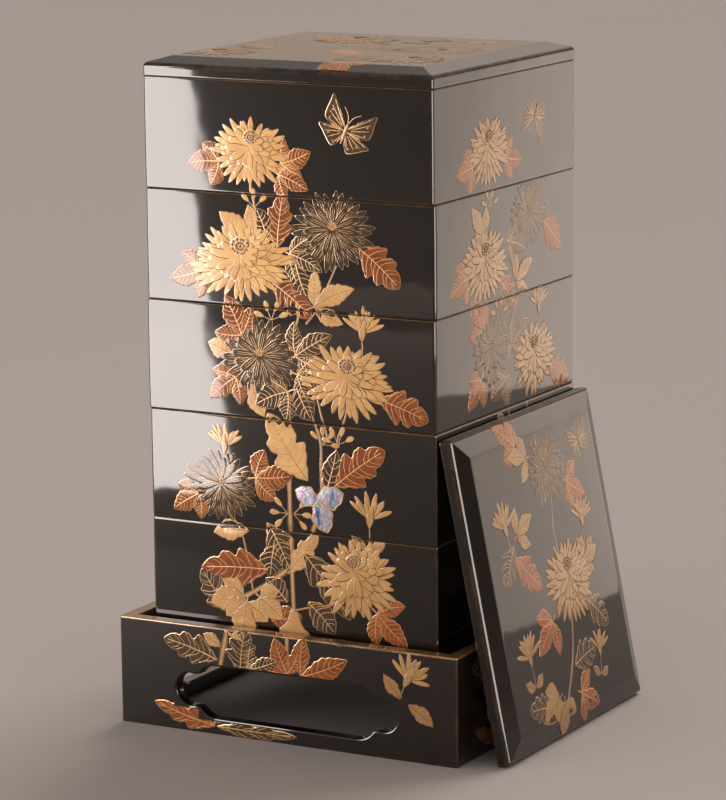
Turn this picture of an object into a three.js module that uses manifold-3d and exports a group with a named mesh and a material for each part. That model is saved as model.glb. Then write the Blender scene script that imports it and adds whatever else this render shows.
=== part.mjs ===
// Stacked food box: five lacquered wooden tiers with a bevelled lid, standing in an open-sided
// stand, and a second lid of the same make leaning on the stack's right-hand side.
// Millimetres, +Z up. The front faces -Y, and the origin is on the floor under the middle of it all.
import * as THREE from "three";
import { mergeVertices } from "three/addons/utils/BufferGeometryUtils.js";
import Module from "manifold-3d";

// The outline that the tiers and the lids share
const boxWidth = 227;
const boxDepth = 217;
const boxCorner = 2.4; // rounding of the upright corners
const arris = 0.6; // rounding of the outer edges

// A tier: a tray with a thin raised lip round its mouth, which the tier or lid above slips over
const tierCount = 5;
const tierHeight = 78;
const tierWall = 7.5;
const tierFloor = 6;
const skirtWall = 3.4; // what is left of the wall beside the step under the floor
const skirtDepth = 3.6;
const lipHeight = 3;
const lipWall = 2.1;

// The lid: a low upright rim, a wide shallow bevel and a flat top, hollow below
const lidRim = 9;
const lidBevelWidth = 15.4;
const lidBevelRise = 4.4;
const lidWall = 4.2;
const lidHollow = 7.8;

// The stand: four walls, a board let in below their tops, and an opening in each wall
const standWidth = 269;
const standDepth = 243;
const standHeight = 77.5;
const standCorner = 1.5;
const standWall = 9.8;
const seatDepth = 6.5;
const seatBoard = 6;

// One opening, as seen from outside: a flat middle, a round shoulder, a cusp and a small end lobe
const openingMiddle = 30.2; // height of its centre line above the floor
const openingHalfHeight = 19.1;
const openingEndMargin = 46; // from the end of the opening to the stand's corner
const shoulderRadius = 15.5;
const shoulderSweep = THREE.MathUtils.degToRad(56.3); // from the flat down to the cusp
const lobeRadius = 11.8;
const lobeToShoulder = 20.5; // from the lobe's centre to the shoulder's, along the opening
const lobeDip = 1.4; // how far the edge dips between the cusp and the lobe

// How each tier really sits, from the top one down: slid along x and y, and turned, in degrees
const seating = [
  { x: 0, y: -0.3, turn: -0.42 },
  { x: -0.3, y: 0, turn: 0.08 },
  { x: -0.8, y: -0.5, turn: 0.14 },
  { x: 0, y: -0.2, turn: -0.1 },
  { x: -0.7, y: 1, turn: 0 },
];

// The leaning lid: its lower edge on the floor, its upper edge against the stack's side
const leanFoot = 158; // distance of the lower edge from the stack's middle
const leanTouch = boxWidth / 2 + 0.5;
const leanAlong = 1.3; // its middle, along y

// How finely the roundings are stepped, and how far a cutter runs past what it cuts
const cornerSteps = 5;
const arrisSteps = 3;
const openingSteps = 7;
const leastCorner = 0.4;
const past = 1;

const blackLacquer = () =>
  new THREE.MeshStandardMaterial({ color: 0x1a1412, roughness: 0.22, metalness: 0 });
const standLacquer = () =>
  new THREE.MeshStandardMaterial({ color: 0x201815, roughness: 0.26, metalness: 0 });

const wasm = await Module();
wasm.setup();

// A closed geometry as a solid that can be joined and cut
function solid(geometry) {
  const bare = geometry.clone();
  bare.deleteAttribute("normal");
  bare.deleteAttribute("uv");
  const merged = mergeVertices(bare, 1e-4);
  return new wasm.Manifold(
    new wasm.Mesh({
      numProp: 3,
      vertProperties: new Float32Array(merged.attributes.position.array),
      triVerts: new Uint32Array(merged.index.array),
    }),
  );
}

// A finished solid as a named mesh
function mesh(name, made, material) {
  const out = made.getMesh();
  const geometry = new THREE.BufferGeometry();
  geometry.setAttribute("position", new THREE.BufferAttribute(out.vertProperties, 3));
  geometry.setIndex(new THREE.BufferAttribute(out.triVerts, 1));
  geometry.computeVertexNormals();
  const named = new THREE.Mesh(geometry, material);
  named.name = name;
  return named;
}

// The points of a rectangle with rounded corners, anticlockwise from above
function roundedRing(width, depth, radius, z) {
  const points = [];
  for (let corner = 0; corner < 4; corner += 1) {
    const sx = corner === 0 || corner === 3 ? 1 : -1;
    const sy = corner < 2 ? 1 : -1;
    for (let step = 0; step <= cornerSteps; step += 1) {
      const angle = ((corner + step / cornerSteps) * Math.PI) / 2;
      points.push(
        sx * (width / 2 - radius) + radius * Math.cos(angle),
        sy * (depth / 2 - radius) + radius * Math.sin(angle),
        z,
      );
    }
  }
  return points;
}

// A solid lofted through rounded rectangles. Each level is a height, and how far its outline is inset.
function loft(width, depth, radius, levels) {
  const count = 4 * (cornerSteps + 1);
  const positions = [];
  for (const { z, inset } of levels) {
    const bend = Math.max(radius - inset, leastCorner);
    positions.push(...roundedRing(width - 2 * inset, depth - 2 * inset, bend, z));
  }
  const faces = [];
  for (let level = 0; level + 1 < levels.length; level += 1) {
    for (let i = 0; i < count; i += 1) {
      const a = level * count + i;
      const b = level * count + ((i + 1) % count);
      faces.push(a, b, b + count, a, b + count, a + count);
    }
  }
  const top = (levels.length - 1) * count;
  for (let i = 1; i + 1 < count; i += 1) {
    faces.push(0, i + 1, i);
    faces.push(top, top + i, top + i + 1);
  }
  const geometry = new THREE.BufferGeometry();
  geometry.setAttribute("position", new THREE.Float32BufferAttribute(positions, 3));
  geometry.setIndex(faces);
  return solid(geometry);
}

// The levels of an outer edge rounded over, rising to height z
function roundedOver(z, radius) {
  const levels = [];
  for (let step = 0; step <= arrisSteps; step += 1) {
    const angle = ((step / arrisSteps) * Math.PI) / 2;
    levels.push({
      z: z - radius + radius * Math.sin(angle),
      inset: radius - radius * Math.cos(angle),
    });
  }
  return levels;
}

// The levels of an outer edge rounded under, rising from height z
function roundedUnder(z, radius) {
  return roundedOver(0, radius)
    .reverse()
    .map((level) => ({ z: z - level.z, inset: level.inset }));
}

function straight(from, to, inset = 0) {
  return [
    { z: from, inset },
    { z: to, inset },
  ];
}

function makeTier() {
  const lipInset = tierWall - lipWall;
  const body = loft(boxWidth, boxDepth, boxCorner, [
    ...roundedUnder(0, arris),
    ...roundedOver(tierHeight, arris),
  ]);
  const lip = loft(
    boxWidth,
    boxDepth,
    boxCorner,
    straight(tierHeight - tierWall, tierHeight + lipHeight, lipInset),
  );
  const inside = loft(
    boxWidth,
    boxDepth,
    boxCorner,
    straight(skirtDepth + tierFloor, tierHeight + lipHeight + past, tierWall),
  );
  const step = loft(boxWidth, boxDepth, boxCorner, straight(-past, skirtDepth, skirtWall));
  return body.add(lip).subtract(inside).subtract(step);
}

function makeLid() {
  const top = lidRim + lidBevelRise;
  const body = loft(boxWidth, boxDepth, boxCorner, [
    ...roundedUnder(0, arris),
    ...roundedOver(lidRim, arris),
    { z: top, inset: lidBevelWidth },
  ]);
  const hollow = loft(boxWidth, boxDepth, boxCorner, straight(-past, lidHollow, lidWall));
  return body.subtract(hollow);
}

// One quarter of an opening's edge, from its flat middle round to its end, as a path of points.
// The quarter is drawn for positive x and z about the opening's centre.
function openingQuarter(halfLength) {
  const shoulderX = halfLength - lobeRadius - lobeToShoulder;
  const shoulderZ = openingHalfHeight - shoulderRadius;
  const cuspX = shoulderX + shoulderRadius * Math.sin(shoulderSweep);
  const cuspZ = shoulderZ + shoulderRadius * Math.cos(shoulderSweep);
  const lobeX = halfLength - lobeRadius;
  const path = new THREE.Path();
  path.moveTo(shoulderX, openingHalfHeight);
  path.absarc(
    shoulderX,
    shoulderZ,
    shoulderRadius,
    Math.PI / 2,
    Math.PI / 2 - shoulderSweep,
    true,
  );
  path.quadraticCurveTo((cuspX + lobeX) / 2, cuspZ - lobeDip, lobeX, lobeRadius);
  path.absarc(lobeX, 0, lobeRadius, Math.PI / 2, 0, true);
  return path.getPoints(openingSteps);
}

function openingShape(halfLength) {
  const quarter = openingQuarter(halfLength);
  const turned = [...quarter].reverse();
  const outline = [
    ...quarter,
    ...turned.map((p) => new THREE.Vector2(p.x, -p.y)),
    ...quarter.map((p) => new THREE.Vector2(-p.x, -p.y)),
    ...turned.map((p) => new THREE.Vector2(-p.x, p.y)),
  ].filter((p, i, all) => p.distanceTo(all[(i + all.length - 1) % all.length]) > 1e-6);
  return new THREE.Shape(outline);
}

// A cutter that goes through both walls facing along y, with the opening's shape
function openingCutter(halfLength, through) {
  const geometry = new THREE.ExtrudeGeometry(openingShape(halfLength), {
    depth: through,
    bevelEnabled: false,
  });
  geometry.translate(0, 0, -through / 2);
  geometry.rotateX(Math.PI / 2);
  geometry.translate(0, 0, openingMiddle);
  return geometry;
}

function makeStand() {
  const inner = [standWidth - 2 * standWall, standDepth - 2 * standWall];
  const body = loft(standWidth, standDepth, standCorner, [
    ...roundedUnder(0, arris),
    ...roundedOver(standHeight, arris),
  ]);
  const seatLevel = standHeight - seatDepth;
  const seat = loft(...inner, standCorner, straight(seatLevel, standHeight + past));
  const under = loft(...inner, standCorner, straight(-past, seatLevel - seatBoard));
  const front = openingCutter(standWidth / 2 - openingEndMargin, standDepth + 2 * past);
  const side = openingCutter(standDepth / 2 - openingEndMargin, standWidth + 2 * past);
  side.rotateZ(Math.PI / 2);
  return body.subtract(seat).subtract(under).subtract(solid(front)).subtract(solid(side));
}

const stack = new THREE.Group();
stack.add(mesh("stand", makeStand(), standLacquer()));

const tier = makeTier();
const seatLevel = standHeight - seatDepth;
for (let number = 1; number <= tierCount; number += 1) {
  const { x, y, turn } = seating[number - 1];
  const level = new THREE.Group();
  level.position.set(x, y, seatLevel + (tierCount - number) * tierHeight);
  level.rotation.z = THREE.MathUtils.degToRad(turn);
  level.add(mesh(`tier_${number}`, tier, blackLacquer()));
  if (number === 1) {
    const lid = mesh("lid", makeLid(), blackLacquer());
    lid.position.z = tierHeight;
    level.add(lid);
  }
  stack.add(level);
}

const lean = Math.asin((leanFoot - leanTouch) / boxWidth);
const leaning = new THREE.Group();
leaning.rotation.y = Math.PI / 2 - lean;
leaning.position.set(
  leanFoot - (boxWidth / 2) * Math.sin(lean),
  leanAlong,
  (boxWidth / 2) * Math.cos(lean),
);
leaning.add(mesh("spare_lid", makeLid(), blackLacquer()));
leaning.position.z -= new THREE.Box3().setFromObject(leaning, true).min.z;
stack.add(leaning);

// The whole set is centred over the origin along x and y, and its lowest point is on the floor.
stack.updateMatrixWorld(true);
const bounds = new THREE.Box3().setFromObject(stack, true);
const middle = bounds.getCenter(new THREE.Vector3());
stack.position.set(-middle.x, -middle.y, -bounds.min.z);

const stackedFoodBox = new THREE.Group();
stackedFoodBox.add(stack);

export default stackedFoodBox;
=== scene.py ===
# Stacked food box: five black lacquered tiers and a lid on an open-sided stand, with a second lid
# leaning on the right-hand side. Flowers and leaves in gold powder and russet run over every face.
# Shapes are drawn in millimetres in each piece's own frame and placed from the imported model.
import math

import bmesh
import bpy
import numpy as np
from mathutils import Matrix, Vector


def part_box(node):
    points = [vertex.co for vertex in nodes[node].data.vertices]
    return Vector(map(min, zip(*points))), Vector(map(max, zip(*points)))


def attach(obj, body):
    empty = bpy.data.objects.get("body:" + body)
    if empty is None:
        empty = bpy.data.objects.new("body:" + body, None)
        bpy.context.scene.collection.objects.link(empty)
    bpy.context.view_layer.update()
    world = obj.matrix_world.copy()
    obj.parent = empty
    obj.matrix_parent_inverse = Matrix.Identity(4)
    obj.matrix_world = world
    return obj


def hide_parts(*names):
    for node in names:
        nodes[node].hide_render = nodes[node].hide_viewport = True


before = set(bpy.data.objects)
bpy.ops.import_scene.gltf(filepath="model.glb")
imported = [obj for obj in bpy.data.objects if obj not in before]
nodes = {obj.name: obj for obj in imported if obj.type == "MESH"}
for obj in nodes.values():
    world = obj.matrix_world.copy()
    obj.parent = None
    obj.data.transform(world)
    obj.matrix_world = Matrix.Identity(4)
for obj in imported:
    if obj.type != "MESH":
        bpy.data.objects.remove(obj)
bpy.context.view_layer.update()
scene = bpy.context.scene
mm = 0.001
print("frame loaded:", ", ".join(sorted(nodes)))

# Camera at the photograph's viewing angle

cameraPlace = {
    "position": (1.24548, -2.31097, 0.73365),
    "yaw": 28.687,  # degrees to the left of straight back
    "pitch": 10.971,  # downwards
    "roll": -0.616,
    "focalPixels": 3759.3,  # focal length in the photograph's own pixels
    "pictureHeight": 800,
    "sensor": 36,
}


def addCamera():
    yaw, pitch, roll = (math.radians(cameraPlace[key]) for key in ("yaw", "pitch", "roll"))
    ahead = Vector((-math.sin(yaw) * math.cos(pitch), math.cos(yaw) * math.cos(pitch), -math.sin(pitch)))
    side = ahead.cross(Vector((0, 0, 1))).normalized()
    over = side.cross(ahead)
    right = side * math.cos(roll) + over * math.sin(roll)
    up = over * math.cos(roll) - side * math.sin(roll)
    data = bpy.data.cameras.new("studio_camera")
    data.sensor_fit = "VERTICAL"
    data.sensor_height = cameraPlace["sensor"]
    data.lens = cameraPlace["focalPixels"] * cameraPlace["sensor"] / cameraPlace["pictureHeight"]
    data.clip_end = 100
    camera = bpy.data.objects.new("studio_camera", data)
    turn = Matrix((right, up, -ahead)).transposed().to_4x4()
    camera.matrix_world = Matrix.Translation(cameraPlace["position"]) @ turn
    scene.collection.objects.link(camera)
    scene.camera = camera


addCamera()
scene.view_settings.view_transform = "Standard"
scene.view_settings.look = "None"
print("camera placed")


# Node helpers for the materials


# A colour given as it shows on screen, 0 to 255, as the shader wants it
def linear(red, green, blue):
    channels = [c / 255 for c in (red, green, blue)]
    return tuple(c / 12.92 if c <= 0.04045 else ((c + 0.055) / 1.055) ** 2.4 for c in channels) + (1,)


# A node tree with short ways to add nodes and links
class NodeTree:

    def __init__(self, tree):
        self.tree = tree

    def add(self, kind, **settings):
        node = self.tree.nodes.new(kind)
        for key, value in settings.items():
            setattr(node, key, value)
        return node

    # A socket is linked and a plain value is set
    def feed(self, socket, value):
        if isinstance(value, bpy.types.NodeSocket):
            self.tree.links.new(value, socket)
        else:
            socket.default_value = value

    def feedAll(self, node, values):
        for name, value in values.items():
            self.feed(node.inputs[name], value)
        return node

    def maths(self, operation, first, second=0.0):
        return self.feedAll(self.add("ShaderNodeMath", operation=operation), {0: first, 1: second}).outputs[0]

    def vector(self, x, y, z):
        return self.feedAll(self.add("ShaderNodeCombineXYZ"), {"X": x, "Y": y, "Z": z}).outputs[0]

    # stops are (position, colour) pairs, or (position, number) pairs
    def ramp(self, value, *stops):
        node = self.feedAll(self.add("ShaderNodeValToRGB"), {"Fac": value})
        band = node.color_ramp
        while len(band.elements) < len(stops):
            band.elements.new(0.5)
        for element, (position, colour) in zip(band.elements, stops):
            element.position = position
            element.color = colour if isinstance(colour, tuple) else (colour, colour, colour, 1)
        return node.outputs["Color"]

    def scaled(self, value, low, high, fromLow=0.0, fromHigh=1.0):
        spans = {"Value": value, "From Min": fromLow, "From Max": fromHigh, "To Min": low, "To Max": high}
        return self.feedAll(self.add("ShaderNodeMapRange"), spans).outputs["Result"]


# One material, with short ways to make its patterns
class Shading(NodeTree):

    def __init__(self, name):
        self.material = bpy.data.materials.new(name)
        self.material.use_nodes = True
        super().__init__(self.material.node_tree)
        self.place = self.add("ShaderNodeTexCoord").outputs["Object"]

    def noise(self, scale, detail=3, roughness=0.5, place=None):
        values = {"Vector": place or self.place, "Scale": scale, "Detail": detail, "Roughness": roughness}
        return self.feedAll(self.add("ShaderNodeTexNoise"), values).outputs["Fac"]

    def mixed(self, factor, first, second):
        node = self.add("ShaderNodeMix", data_type="RGBA")
        return self.feedAll(node, {"Factor": factor, 6: first, 7: second}).outputs[2]

    def blended(self, factor, first, second):
        node = self.add("ShaderNodeMix", data_type="FLOAT")
        return self.feedAll(node, {"Factor": factor, 2: first, 3: second}).outputs[0]

    def attribute(self, name):
        return self.add("ShaderNodeAttribute", attribute_name=name).outputs["Fac"]

    def bump(self, height, distance, strength=1.0, under=None):
        values = {"Strength": strength, "Distance": distance, "Height": height}
        if under is not None:
            values["Normal"] = under
        return self.feedAll(self.add("ShaderNodeBump"), values).outputs["Normal"]

    # The material, with these inputs on its shader
    def finished(self, inputs):
        self.feedAll(self.tree.nodes["Principled BSDF"], inputs)
        return self.material


# Lacquer for the boxes, the lids and the stand

lacquerLook = {
    "black": linear(24, 17, 12),
    "brown": linear(40, 29, 20),
    "worn": linear(118, 84, 52),
    "powder": linear(196, 150, 92),
    "haze": (0.30, 0.38),  # roughness of the body under its polished top
    "polish": 0.045,  # roughness of the top
    "powderRough": 0.38,
    "waveScale": 14,  # how close the polished surface's waves are
    "wave": 0.0006,  # and how deep, in metres
    "grain": 0.00006,  # depth of the powder's grain
}


def lacquer(name, brownness, gleam):
    s = Shading(name)
    cloud = s.noise(9, 4, 0.55)
    fine = s.noise(900, 2)
    speckle = s.noise(2600, 2, 0.6)
    brush = s.noise(60, 5, 0.7)
    look = lacquerLook
    base = s.mixed(s.scaled(cloud, 0, brownness, 0.35, 0.7), look["black"], look["brown"])
    wear = s.maths("MULTIPLY", s.attribute("wear"), s.scaled(brush, 0, 1, 0.42, 0.66))
    base = s.mixed(wear, base, look["worn"])
    dust = s.maths("MULTIPLY", s.scaled(speckle, 0.35, 1, 0.35, 0.6), s.scaled(brush, 0.35, 1, 0.3, 0.62))
    # the powder mask is gold dust on rims and mouths, and on the tiers' top edges it is also a painted
    # highlight along each joint
    powder = s.maths("MULTIPLY", s.attribute("powder"), dust)
    uneven = s.maths("ADD", s.maths("MULTIPLY", cloud, 0.6), s.maths("MULTIPLY", fine, 0.4))
    waves = s.bump(s.noise(look["waveScale"], 2), look["wave"], 0.5)
    return s.finished({
        "Base Color": s.mixed(powder, base, look["powder"]),
        "Metallic": s.maths("MULTIPLY", powder, 0.85),
        "Roughness": s.blended(powder, s.scaled(uneven, *look["haze"]), look["powderRough"]),
        "Normal": s.bump(s.maths("MULTIPLY", speckle, powder), look["grain"], 0.6, waves),
        "Coat Normal": waves,
        "Specular IOR Level": gleam,
        "Coat Weight": 1.0,
        "Coat Roughness": look["polish"],
        "Coat IOR": 1.5,
    })


blackLacquer = lacquer("black_lacquer", 0.35, 0.035)
standLacquer = lacquer("stand_lacquer", 0.8, 0.12)
print("lacquer mixed")


# Lofted shells: rings of a rounded rectangle at each level of a profile


# The outline from above, anticlockwise, with a support point beside each rounding
def roundedRing(width, depth, radius, z, steps, support):
    points = []
    for corner in range(4):
        sx = 1 if corner in (0, 3) else -1
        sy = 1 if corner < 2 else -1
        middle = Vector((sx * (width / 2 - radius), sy * (depth / 2 - radius)))
        start = corner * math.pi / 2
        before = Vector((math.sin(start), -math.cos(start))) * support
        after = Vector((-math.cos(start), -math.sin(start))) * support
        turns = [start + i / steps * math.pi / 2 for i in range(steps + 1)]
        bend = [middle + Vector((math.cos(a), math.sin(a))) * radius for a in turns]
        for flat in [bend[0] + before] + bend + [bend[-1] + after]:
            points.append(Vector((flat.x, flat.y, z)))
    return points


def level(z, inset, wear=0.0, powder=0.0):
    return {"z": z, "inset": inset, "wear": wear, "powder": powder}


# Levels along an arc about (z, inset). Angle 0 faces outwards and 90 degrees faces up.
def rounding(z, inset, radius, fromAngle, toAngle, steps, wear=0.0, powder=0.0):
    turns = [math.radians(fromAngle + (toAngle - fromAngle) * i / steps) for i in range(steps + 1)]
    return [level(z + radius * math.sin(a), inset - radius * math.cos(a), wear, powder) for a in turns]


# Faces between closed rings of vertices, each ring to the next
def skinRings(mesh, rings):
    count = len(rings[0])
    for lower, upper in zip(rings, rings[1:]):
        for i in range(count):
            j = (i + 1) % count
            mesh.faces.new((lower[i], lower[j], upper[j], upper[i]))


# A closed skin through the levels, put in place. Its first and last rings are capped.
def loftMesh(name, shape, levels, place):
    mesh = bmesh.new()
    wearLayer = mesh.verts.layers.float.new("wear")
    powderLayer = mesh.verts.layers.float.new("powder")
    perCorner = shape["cornerSteps"] + 3  # with the support point on each side
    rings = []
    for spec in levels:
        inset = spec["inset"]
        width, depth = shape["width"] - 2 * inset, shape["depth"] - 2 * inset
        radius = max(shape["corner"] - inset, shape["leastCorner"])
        outline = roundedRing(width, depth, radius, spec["z"], shape["cornerSteps"], shape["support"])
        verts = []
        for index, point in enumerate(outline):
            vert = mesh.verts.new(point)
            atCorner = 0 < index % perCorner < perCorner - 1 and inset < shape["corner"]
            vert[wearLayer] = max(spec["wear"], shape["cornerWear"] if atCorner else 0)
            vert[powderLayer] = spec["powder"]
            verts.append(vert)
        rings.append(verts)
    skinRings(mesh, rings)
    mesh.faces.new(list(reversed(rings[0])))
    mesh.faces.new(rings[-1])
    bmesh.ops.recalc_face_normals(mesh, faces=mesh.faces)
    return finishMesh(mesh, name, place)


# The bmesh as an object at the origin, with its vertices moved to their place
def finishMesh(mesh, name, place, sharpAngle=32):
    mesh.transform(place)
    data = bpy.data.meshes.new(name)
    mesh.to_mesh(data)
    mesh.free()
    data.shade_smooth()
    data.set_sharp_from_angle(angle=math.radians(sharpAngle))
    made = bpy.data.objects.new(name, data)
    scene.collection.objects.link(made)
    return made


# The frame of a box or lid: millimetres from the middle of its underside, x along its width,
# y along its depth and z out of its top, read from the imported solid
def restingPlace(node):
    corners = sorted({tuple(round(c, 6) for c in v.co) for v in nodes[node].data.vertices})
    points = np.array(corners)
    vectors = np.linalg.eigh(np.cov((points - points.mean(0)).T))[1]
    depthAxis = Vector(vectors[:, 1])
    upAxis = Vector(vectors[:, 0])
    depthAxis *= 1 if depthAxis.y > 0 else -1
    upAxis *= 1 if upAxis.x + upAxis.z > 0 else -1
    widthAxis = depthAxis.cross(upAxis)
    axes = np.array([widthAxis, depthAxis, upAxis])
    along = points @ axes.T
    low, high = along.min(0), along.max(0)
    origin = axes.T @ np.array([(low[0] + high[0]) / 2, (low[1] + high[1]) / 2, low[2]])
    turn = Matrix((widthAxis, depthAxis, upAxis)).transposed().to_4x4()
    return Matrix.Translation(Vector(origin)) @ turn @ Matrix.Scale(mm, 4)


boxShape = {
    "width": 227,
    "depth": 217,
    "corner": 2.4,
    "leastCorner": 0.4,
    "cornerSteps": 8,
    "support": 0.7,
    "cornerWear": 0.22,
    "topArris": 1.0,
    "footArris": 1.2,
    "arrisSteps": 5,
    "barrel": 0.22,  # how far the face draws in towards its top and foot
    "barrelSteps": 10,
}
tierShape = {
    **boxShape,
    "height": 78,
    "wall": 7.5,
    "floor": 6,
    "fillet": 1.6,
    "skirtWall": 3.4,
    "skirtDepth": 3.6,
    "lipHeight": 3,
    "lipWall": 2.1,
    "lipRounding": 0.5,
    "chamfer": 0.3,  # of the skirt's inner edge
    # gold powder on the tier's mouth; half of it on the outer top edge also serves as a painted highlight,
    # the light line at each joint
    "mouthGoldAndSeamHighlight": 0.9,
}
lidShape = {
    **boxShape,
    "rim": 9,
    "ridgeRounding": 3.6,
    "bevelWidth": 15.4,
    "bevelRise": 4.4,
    "wall": 4.2,
    "hollow": 7.8,
    "fillet": 1.6,
    "plateauRounding": 5,
    "plateauSteps": 4,
    "rimPowder": 0.55,
    "chamfer": 0.4,  # of the hollow's lower edge
}


# How far the outer face lies inside the box's outline, for one height or an array of them
def faceInset(shape, height, z):
    lowest, highest = shape["footArris"], height - shape["topArris"]
    middle, reach = (lowest + highest) / 2, (highest - lowest) / 2
    drawn = shape["barrel"] * np.minimum(1, np.abs(z - middle) / reach) ** 2.4
    radius = np.where(z < lowest, shape["footArris"], shape["topArris"])
    short = np.clip(np.maximum(lowest - z, z - highest), 0, radius)
    return drawn + radius - np.sqrt(np.maximum(radius**2 - short**2, 0))


# Levels up the face between its arrises, with support levels at both ends
def outerFace(shape, height, steps):
    lowest, highest = shape["footArris"], height - shape["topArris"]
    heights = [lowest + (highest - lowest) * i / steps for i in range(steps + 1)]
    heights[1:1] = [lowest + shape["support"]]
    heights[-1:-1] = [highest - shape["support"]]
    return [level(z, float(faceInset(shape, height, z))) for z in heights]


def makeTier(node):
    s = tierShape
    height, lipTop, drawn = s["height"], s["height"] + s["lipHeight"], s["barrel"]
    foot, top, lip = s["footArris"], s["topArris"], s["lipRounding"]
    inLip = s["wall"] - s["lipWall"]
    steps, powder = s["arrisSteps"], s["mouthGoldAndSeamHighlight"]
    inside = s["skirtDepth"] + s["floor"]
    levels = [
        level(s["skirtDepth"], s["skirtWall"] + s["fillet"]),
        level(s["skirtDepth"], s["skirtWall"]),
        level(s["chamfer"], s["skirtWall"]),
        level(0, s["skirtWall"] - s["chamfer"]),
        *rounding(foot, foot + drawn, foot, -90, 0, steps, 0.4)[:-1],
        *outerFace(s, height, s["barrelSteps"]),
        # the top edge's gold powder is partly real gilding and partly a painted highlight for the light line
        # at each joint between tiers
        *rounding(height - top, top + drawn, top, 0, 90, steps, 0.2, 0.5 * powder)[1:],
        level(height, inLip - 0.4, 0, powder),
        level(height, inLip, 0, powder),
        *rounding(lipTop - lip, inLip + lip, lip, 0, 90, 3, 0.3, powder),
        *rounding(lipTop - lip, s["wall"] - lip, lip, 90, 180, 3, 0.3, powder),
        level(inside + s["fillet"] + 1, s["wall"]),
        *rounding(inside + s["fillet"], s["wall"] + s["fillet"], -s["fillet"], 0, 90, 5),
        level(inside, s["wall"] + 2 * s["fillet"]),
    ]
    return loftMesh(node + "_shell", s, levels, restingPlace(node))


def makeLid(node):
    s = lidShape
    top = s["rim"] + s["bevelRise"]
    foot, arris, bend, fillet = s["footArris"] * 0.7, s["ridgeRounding"], s["plateauRounding"], s["fillet"]
    slope = math.atan2(s["bevelRise"], s["bevelWidth"])
    crown = 90 - math.degrees(slope)
    ridge = s["rim"] - 0.25 - arris * math.tan(math.radians(crown / 2))  # where its rounding starts
    levels = [
        level(s["hollow"], s["wall"] + 2 * fillet),
        *rounding(s["hollow"] - fillet, s["wall"] + fillet, -fillet, -90, 0, 5),
        level(s["chamfer"], s["wall"], 0, s["rimPowder"]),
        level(0, s["wall"] - s["chamfer"], 0.4, s["rimPowder"]),
        *rounding(foot, foot, foot, -90, 0, s["arrisSteps"], 0.4),
        level(foot + s["support"], 0),
        level(ridge - s["support"], 0),
        *rounding(ridge, arris, arris, 0, crown, s["arrisSteps"], 0.5),
    ]
    # the straight bevel, with a support level close to each end
    run = bend * math.tan(slope / 2)
    last = levels[-1]
    rise, across = top - run * math.tan(slope) - last["z"], s["bevelWidth"] - run - last["inset"]
    for share in (0.03, 0.97):
        levels.append(level(last["z"] + rise * share, last["inset"] + across * share))
    for i in range(s["plateauSteps"] + 1):
        angle = slope * (1 - i / s["plateauSteps"])
        inset = s["bevelWidth"] + run - bend * math.sin(angle)
        levels.append(level(top - bend * (1 - math.cos(angle)), inset))
    levels.append(level(top, s["bevelWidth"] + run + 2))
    return loftMesh(node + "_shell", s, levels, restingPlace(node))


for node in ("tier_1", "tier_2", "tier_3", "tier_4", "tier_5", "lid", "spare_lid"):
    shell = makeTier(node) if node.startswith("tier") else makeLid(node)
    shell.data.materials.append(blackLacquer)
    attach(shell, "root")
    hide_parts(node)
print("tiers and lids turned out")


# The stand: a walled box, open below, with a scalloped opening in each wall

standShape = {
    "width": 269,
    "depth": 243,
    "height": 77.5,
    "corner": 1.5,
    "leastCorner": 0.4,
    "cornerSteps": 6,
    "support": 0.7,
    "cornerWear": 0.3,
    "arris": 1.0,
    "arrisSteps": 5,
    "wall": 9.8,
    "seatDepth": 6.5,
    "seatBoard": 6,
    "rimPowder": 0.75,
    "openingMiddle": 30.2,
    "openingHalfHeight": 19.1,
    "openingEndMargin": 46,
    "shoulderRadius": 15.5,
    "shoulderSweep": 56.3,
    "lobeRadius": 11.8,
    "lobeToShoulder": 20.5,
    "lobeDip": 1.4,
    "edgeRounding": 1.4,  # of the openings' cut edges
    "edgeSteps": 4,
    "arcSteps": 10,
    "cutterBeyond": 2,  # how far the plugs that cut the openings go past each wall
    "chamfer": 0.5,  # of the foot's inner edge
}


# Points along an arc between two angles in degrees
def arc(x, z, radius, fromAngle, toAngle, steps):
    turns = [math.radians(fromAngle + (toAngle - fromAngle) * i / steps) for i in range(steps + 1)]
    return [(x + radius * math.cos(a), z + radius * math.sin(a)) for a in turns]


# The edge from the flat middle round the shoulder, the cusp and the end lobe, for x and z above 0
def openingQuarter(halfLength):
    s = standShape
    shoulderX = halfLength - s["lobeRadius"] - s["lobeToShoulder"]
    shoulderZ = s["openingHalfHeight"] - s["shoulderRadius"]
    lobeX = halfLength - s["lobeRadius"]
    steps, bend = s["arcSteps"], s["arcSteps"] // 2
    points = arc(shoulderX, shoulderZ, s["shoulderRadius"], 90, 90 - s["shoulderSweep"], steps)
    cusp = points[-1]
    pull = ((cusp[0] + lobeX) / 2, cusp[1] - s["lobeDip"])
    end = (lobeX, s["lobeRadius"])
    for t in [i / bend for i in range(1, bend + 1)]:
        weights = (1 - t) ** 2, 2 * t * (1 - t), t * t
        points.append(tuple(sum(w * a for w, a in zip(weights, axis)) for axis in zip(cusp, pull, end)))
    return points + arc(lobeX, 0, s["lobeRadius"], 90, 0, steps)[1:]


def openingOutline(halfLength):
    quarter = openingQuarter(halfLength)
    reverse = quarter[-2::-1]
    outline = quarter + [(x, -z) for x, z in reverse] + [(-x, -z) for x, z in quarter[1:]]
    return outline + [(-x, z) for x, z in reverse[:-1]]


# The outline moved outwards along its own normals
def widened(outline, distance):
    moved = []
    count = len(outline)
    for i in range(count):
        before, here, after = (Vector(outline[k % count]) for k in (i - 1, i, i + 1))
        first = (here - before).normalized()
        second = (after - here).normalized()
        normal = Vector((-(first.y + second.y), first.x + second.x)).normalized()
        spread = max(0.35, math.sqrt((1 + first.dot(second)) / 2))
        moved.append(here + normal * (distance / spread))
    return moved


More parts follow.
